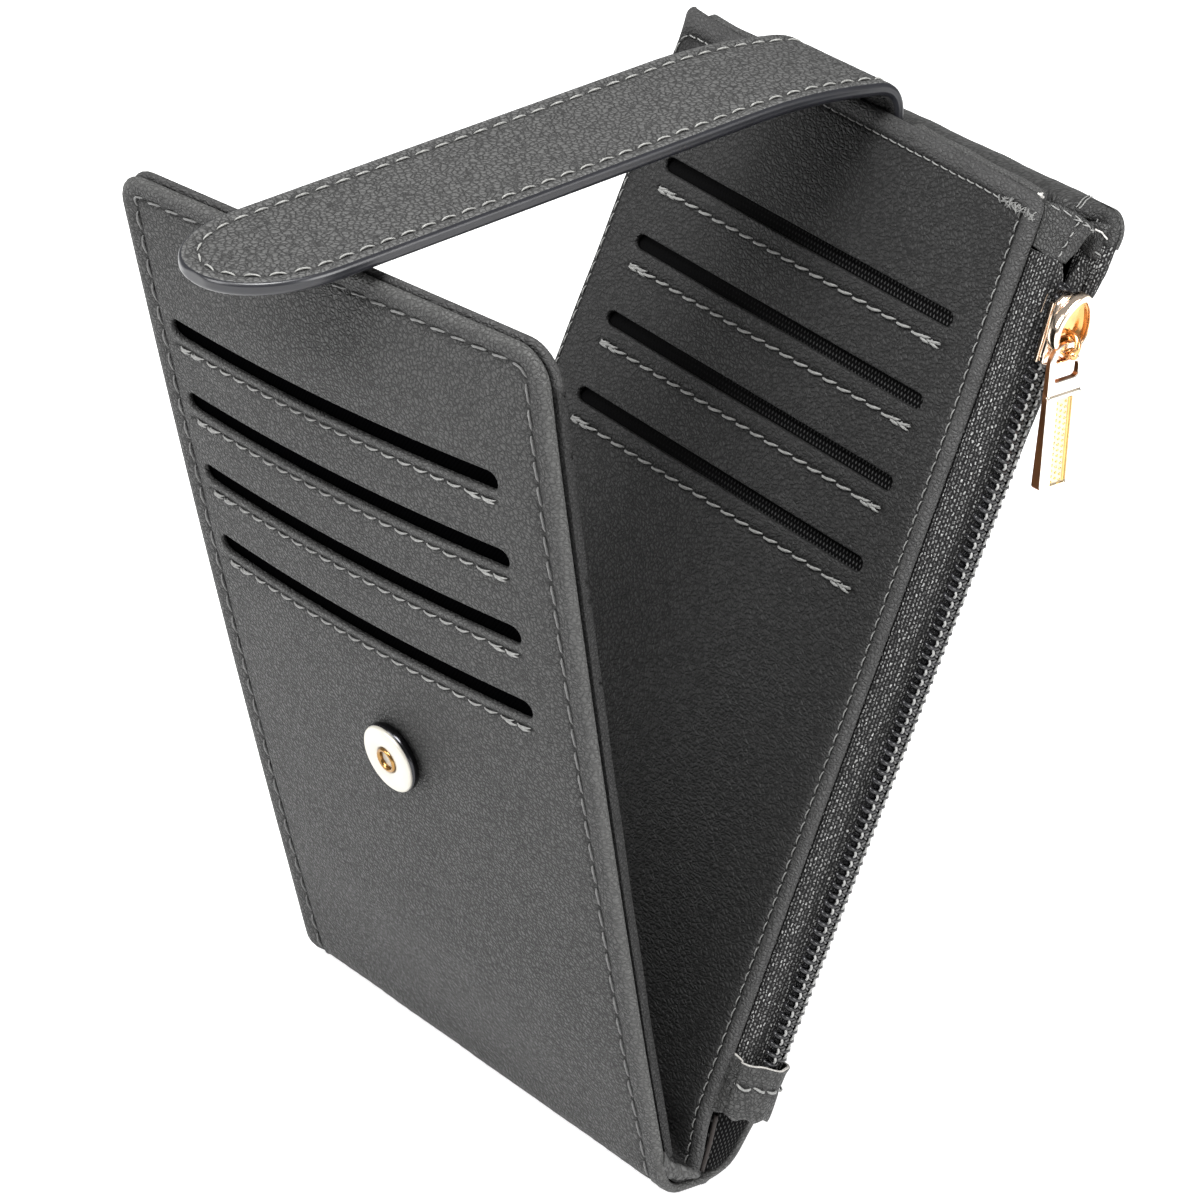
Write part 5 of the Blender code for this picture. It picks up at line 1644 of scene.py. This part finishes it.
# gathered end of the fold's lining, between the two halves
b = Build()
upper = resample(soften([(-10.2, 10.2), (-7.9, 7.2), (-5.6, 6.0), (-3.0, 4.5), (-0.9, 3.1)], 2), 0.3, False)
k = len(upper)
q = np.linspace(0, 1, k)
lower = np.stack([np.interp(q, [0, 0.25, 0.5, 0.75, 1], [-10.6, -8.6, -6.2, -3.6, -1.0]), np.interp(q, [0, 0.25, 0.5, 0.75, 1], [6.4, 4.1, 3.0, 2.4, 2.1])], -1)
h9 = np.linspace(0, 1, 9)[None, :]
xz = upper[:, None] * (1 - h9[..., None]) + lower[:, None] * h9[..., None]
fold_y = -53.2 - 0.75 * np.sin(PI * h9) ** 0.7 - 0.22 * np.sin(q[:, None] * 21.0 + h9 * 2.5) - 0.12 * np.sin(q[:, None] * 43.0)
top = np.stack([xz[..., 0], fold_y, xz[..., 1]], -1)
slab(b, top, top + np.array([0.0, 0.8, 0.0]), np.stack([xz[..., 0], xz[..., 1], 0 * xz[..., 0]], -1))
gathered = b.make("fold_end_gather", [MAT["gather"]])
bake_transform(gathered)

# ------------------------------------------------------------------ zip slider
def plate(build, outline, holes, place, low, high, bevel=0.3, grid=0.9, step=0.45, extra=(), shape=None, mat=0, side_mat=None):
    def heights(p, rim, hole, line):
        edge = np.minimum(rim, hole)
        top = high - roll(edge, bevel)
        bottom = low + roll(edge, bevel * 0.8)
        if shape is not None:
            top, bottom = shape(p, top, bottom)
        return top, bottom

    fine = (0.0, 0.04, 0.12, 0.22, 0.34)
    panel(build, outline, holes, place, heights, grid, (), step=step, hole_step=step, mat=mat, side_mat=side_mat, extra=extra, steps=(fine, fine))


def slider_place(l, w, o):
    return zipf(l, o, w)


def teardrop(l0, l1, half, point=0.55, n=44):
    """An egg-shaped outline along the chain, rounder at its lower end."""
    out = []
    for i in range(n):
        a = 2 * PI * i / n
        x, y = math.cos(a), math.sin(a)
        k = 1 - (1 - point) * 0.5 * (1 + x) ** 2 / 2
        out.append(((l0 + l1) / 2 + (l1 - l0) / 2 * x, half * y * k))
    return out


b = Build()
wings = [(164.6, 2.5), (166.4, 2.9), (169.6, 3.2), (173.0, 3.8), (176.0, 3.9), (177.3, 3.0), (178.0, 1.2)]
body_outline = [(l, -w) for l, w in wings] + wings[::-1]
plate(b, rounded(body_outline, [0.6] * len(body_outline), 0.3), [], slider_place, 2.0, 3.3, 0.35)
plate(b, rounded([(l, 0.72 * w) for l, w in body_outline], [0.5] * len(body_outline), 0.3), [], slider_place, -2.2, -1.1, 0.3)
plate(b, rounded([(173.4, -0.35), (177.9, -0.35), (177.9, 0.35), (173.4, 0.35)], [0.1] * 4, 0.2), [], slider_place, -1.3, 2.2, 0.05, grid=0.5, step=0.3)
# flanges that guide the coils
for side in (-1, 1):
    fl_o = [(164.6, side * 2.5), (169.6, side * 3.1), (175.6, side * 3.8), (175.6, side * 4.2), (169.6, side * 3.5), (164.6, side * 2.9)]
    plate(b, fl_o, [], slider_place, 1.25, 2.1, 0.1, grid=0.8, step=0.5)
# raised oval cap with a hollow face
cap = teardrop(166.7, 178.9, 4.85, 0.60)
cap_in = teardrop(168.2, 177.3, 3.45, 0.58)
plate(b, cap, [cap_in], slider_place, 3.1, 5.6, 0.62, step=0.5)
b.make("slider_metal", [MAT["gold"]], "zip_slider", replaces=("slider_body", "slider_bail"), sharp=40)
b = Build()
dish = teardrop(168.0, 177.4, 4.0, 0.60)


def dish_shape(p, top, bottom):
    x = (p[:, 0] - 172.6) / 4.8
    y = p[:, 1] / 4.0
    ridge = 0.85 * np.exp(-(((x + 0.05) ** 2) / 0.28 + (np.abs(y) ** 2.2) / 0.16))
    hollow = 0.9 * (1 - np.clip(x * x + y * y, 0, 1))
    return top - hollow + ridge, bottom


# the hollow dish is drawn in the deeper gold as painted shade
plate(b, dish, [], slider_place, 3.2, 4.35, 0.1, grid=0.55, step=0.4, shape=dish_shape)
b.make("slider_dish", [MAT["gold_deep"]], "zip_slider")
b = Build()
loop = soften([(171.2, 3.4), (171.5, 5.0), (171.1, 6.5), (169.9, 7.35), (168.5, 7.2), (167.65, 6.3), (167.45, 4.9), (167.4, 3.2)], 3)
wire(b, zipf(loop[:, 0], loop[:, 1], 0.0), 0.62, 12)
ball(b, zipf(168.15, 7.0, 0.0), 0.85, n=12)
b.make("slider_loop", [MAT["loop"]], "zip_slider")

# ------------------------------------------------------------------ pull
PULL_C = zipf(168.1, 5.25, 0.0).reshape(3)
TILT = 0.078


def pull_place(x, z, t):
    x, z, t = np.broadcast_arrays(np.asarray(x, float), np.asarray(z, float), np.asarray(t, float))
    return np.stack([PULL_C[0] + x - TILT * z, PULL_C[1] - t, PULL_C[2] + z + TILT * x], -1)


n = 22
arch = [(4.15 * math.cos(PI * i / n), -1.7 + 3.7 * math.sin(PI * i / n) ** 0.9) for i in range(n + 1)]
pull_outline = arch + rounded([(-4.15, -2.5), (-4.2, -25.7), (4.2, -25.7), (4.15, -2.5)], [0, 0.9, 0.9, 0], 0.3)
eye = [(2.75 * math.cos(PI * i / 14), -1.25 + 2.15 * math.sin(PI * i / 14) ** 0.85) for i in range(15)]
window = rounded([(-2.7, -2.05), (2.9, -2.05), (2.9, -5.0), (-2.7, -5.0)], [0.25, 0.9, 0.9, 0.35], 0.3)
STRIP = (-1.75, 1.95, -25.0, -8.5)


def box_depth(p, x0, x1, z0, z1):
    return np.minimum(np.minimum(p[:, 0] - x0, x1 - p[:, 0]), np.minimum(p[:, 1] - z0, z1 - p[:, 1]))


def pull_shape(p, top, bottom):
    d = box_depth(p, *STRIP)
    top = top - 0.42 * smooth((d + 0.04) / 0.08)
    groove = np.abs(p[:, 1] + 7.6)
    top = top - 0.34 * smooth((0.2 - groove) / 0.07)
    thick = 1.0 + 1.2 * np.clip(-p[:, 1] / 25.0, 0, 1)
    return top, np.minimum(bottom - (thick - 1.0), top - 0.3)


ex = []
for d in (-0.06, 0.06):
    x0, x1, z0, z1 = STRIP[0] - d, STRIP[1] + d, STRIP[2] - d, STRIP[3] + d
    ex.append(resample([(x0, z0), (x1, z0), (x1, z1), (x0, z1)], 0.45))
for z in (-7.36, -7.46, -7.6, -7.74, -7.84):
    ex.append(resample([(-4.1, z), (4.1, z)], 0.5, False))
b = Build()
# the pull's side faces get the darker copper copy of its gold as painted shade
plate(b, pull_outline, [eye, window], pull_place, -0.5, 0.6, 0.16, grid=0.9, step=0.4, extra=ex, shape=pull_shape, side_mat=1)
for k in range(15):
    for j, x in enumerate((-1.05, 0.0, 1.05)):
        z = -9.4 - 1.08 * k - (0.54 if j == 1 else 0.0)
        if z > STRIP[2] + 0.4:
            lathe(b, [(0.30, -0.05), (0.27, 0.1), (0.17, 0.2), (0.001, 0.24)], pull_place(x - 0.25, z, 0.16).reshape(3), (0, -1, 0), 10, 3)
# painted shade: the strip's floor in darker gold, and a near-black bar in the groove across the pull
for (x0, x1, z0, z1), t0, t1, m in (((STRIP[0] + 0.06, STRIP[1] - 0.06, STRIP[2] + 0.06, STRIP[3] - 0.06), 0.08, 0.205, 2), ((-4.02, 4.05, -7.72, -7.48), 0.18, 0.33, 4)):
    grid_x, grid_z = np.meshgrid(np.linspace(x0, x1, 5), np.linspace(z0, z1, 9), indexing="ij")
    slab(b, pull_place(grid_x, grid_z, t1), pull_place(grid_x, grid_z, t0), mat=m)
# painted shadow: a thin dark-gold wire along the right side of the strip stands for its shadow line
line_z = np.linspace(STRIP[2] + 0.25, STRIP[3] - 0.25, 30)
wire(b, pull_place(1.62, line_z, 0.22), 0.24, 8, mat=3)
b.make("pull_metal", [MAT["gold_pale"], MAT["copper"], MAT["gold_recess"], MAT["gold_line"], MAT["gold_dark"]], "zip_pull", replaces=("zip_pull", "zip_pull_inlay"), sharp=35)

# ------------------------------------------------------------------ snap on the front
snap_o = one(front, SNAP_U, SNAP_V, 0.0)
snap_n = one(front, SNAP_U, SNAP_V, 1.0) - snap_o
snap_n /= np.linalg.norm(snap_n)
b = Build()
lathe(b, [(2.6, 0.1), (6.1, 0.1), (6.6, 0.3), (6.9, 0.8), (6.95, 1.3), (6.85, 1.8), (6.6, 2.1), (6.3, 2.15), (6.2, 1.9), (2.6, 1.9)], snap_o, snap_n)
b.make("snap_dark_rim", [MAT["gunmetal"]], "front_half", replaces=("snap_rim",))
b = Build()
lathe(b, [(2.5, 1.6), (6.3, 1.6), (6.68, 1.9), (6.76, 2.2), (6.66, 2.5), (6.36, 2.72), (5.9, 2.84), (5.2, 2.9), (4.2, 2.86), (3.4, 2.78), (2.9, 2.7), (2.6, 2.5), (2.52, 2.2)], snap_o, snap_n)
b.make("snap_cap", [MAT["cream"]], "front_half", replaces=("snap_face",), sharp=50)
b = Build()
lathe(b, [(0.001, 0.6), (1.15, 0.62), (1.5, 0.8), (1.62, 1.2), (1.66, 2.2), (1.76, 2.75), (1.95, 3.02), (2.2, 3.08), (2.42, 2.95), (2.5, 2.5), (2.5, -0.6), (0.001, -0.6)], snap_o, snap_n, 48)
e1 = one(front, SNAP_U + 1, SNAP_V, 0.0) - snap_o
e1 /= np.linalg.norm(e1)
e2 = np.cross(snap_n, e1)
# painted shade: two near-black wires inside the socket stand for its dark slit
for side in (-1, 1):
    a = np.linspace(-1.3, 1.3, 9)
    p = snap_o + snap_n * 1.5 + e1 * a[:, None] + e2 * (side * (0.62 + 0.25 * np.cos(a * 1.2)))[:, None]
    wire(b, p, 0.17, 8, mat=1)
b.make("snap_socket_ring", [MAT["brass"], MAT["gold_dark"]], "front_half", replaces=("snap_socket",))

# stud under the strap's tip
b = Build()
stud_q = (STUD_X - STRAP_TIP_X + 0.4) * 1.014
s_o = one(strap, stud_q, 1.5, -STRAP_T)
s_n = s_o - one(strap, stud_q, 1.5, 0.0)
s_n /= np.linalg.norm(s_n)
lathe(b, [(0.001, -0.4), (5.0, -0.4), (5.6, 0.0), (5.9, 0.3), (5.7, 0.8), (5.0, 1.05), (3.0, 1.1), (2.4, 1.25), (2.1, 1.6), (2.05, 2.1), (2.2, 2.5), (2.1, 2.8), (1.6, 3.0), (0.001, 3.05)], s_o, s_n, 48)
b.make("strap_stud_metal", [MAT["gunmetal"]], "strap", replaces=("strap_stud",))

# ------------------------------------------------------------------ cloth seen through the back card slots
for i, u0 in enumerate(BACK_SLOTS):
    b = Build()
    uu = np.linspace(u0 - 9.0, u0 + 4.2, 9)
    vv = np.linspace(BACK_SLOT_V - 46.0, BACK_SLOT_V + 46.0, 33)
    UU, VV = np.meshgrid(uu, vv, indexing="ij")
    W = -12.62 + 0.5 * smooth((UU - u0 + 1.0) / 4.0)
    top = back(UU, VV, W)
    under = back(UU, VV, W + 0.35)
    slab(b, top, under, np.stack([UU, VV, 0 * UU], -1))
    b.make(f"slot_cloth_back_{i + 1}", [MAT["dots"]], "back_half", replaces=(f"card_lining_back_{i + 1}",))

# ------------------------------------------------------------------ what is carried over from the frame
KIND = {"grey_leather": "front", "inner_leather": "inner", "strap_leather": "strap", "black_lining": "lining", "woven_lining": "lining", "board": "board", "zip_tape": "tape", "zip_coil": "tape", "gold": "gold", "brass": "brass", "steel": "steel", "gunmetal": "gunmetal", "cream": "cream"}
for name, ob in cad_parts.items():
    if ob.hide_render:
        continue
    old = ob.material_slots[0].material.name.split(".")[0] if ob.material_slots and ob.material_slots[0].material else ""
    kind = KIND.get(old, "lining")
    if not ob.material_slots:
        ob.data.materials.append(MAT[kind])
    for sl in ob.material_slots:
        sl.material = MAT[kind]

# ------------------------------------------------------------------ floor and light
floor_mesh = bpy.data.meshes.new("floor")
size = 3.0
floor_mesh.from_pydata([(-size, -size, -0.0004), (size, -size, -0.0004), (size, size, -0.0004), (-size, size, -0.0004)], [], [(0, 1, 2, 3)])
floor = bpy.data.objects.new("floor", floor_mesh)
scene.collection.objects.link(floor)
t = Tree("floor_paint", (0.9, 0.9, 0.9))
co = t.node("ShaderNodeTexCoord").outputs["Object"]
t.out(t.mix(t.noise(co, 3.0), 0.60, 0.62), 0.9, specular=0.0)
t.bsdf.inputs["Emission Color"].default_value = (1.0, 1.0, 1.0, 1.0)
t.bsdf.inputs["Emission Strength"].default_value = 0.75
floor_mesh.materials.append(t.mat)

world = bpy.data.worlds.new("world")
scene.world = world
world.use_nodes = True
world.node_tree.nodes["Background"].inputs[0].default_value = (1.0, 1.0, 1.0, 1)
world.node_tree.nodes["Background"].inputs[1].default_value = 0.38


def area(name, where, towards, size, power, colour=(1, 1, 1)):
    light = bpy.data.lights.new(name, "AREA")
    light.shape = "RECTANGLE"
    light.size, light.size_y = size
    light.energy = power
    light.color = colour
    ob = bpy.data.objects.new(name, light)
    scene.collection.objects.link(ob)
    ob.location = where
    ob.rotation_mode = "QUATERNION"
    ob.rotation_quaternion = (Vector(towards) - Vector(where)).to_track_quat("-Z", "Y")
    return ob


area("key_left", (-1.3, 0.35, 0.85), (0, 0, 0.1), (0.8, 0.8), 19)
area("fill_right", (0.35, -1.4, 0.6), (0, 0, 0.1), (0.7, 0.9), 23)
area("top", (-0.55, -0.25, 1.35), (0, 0, 0.1), (0.7, 0.7), 40)

scene.view_settings.view_transform = "Standard"
scene.view_settings.look = "None"
scene.view_settings.exposure = 0.0
scene.view_settings.gamma = 1.0
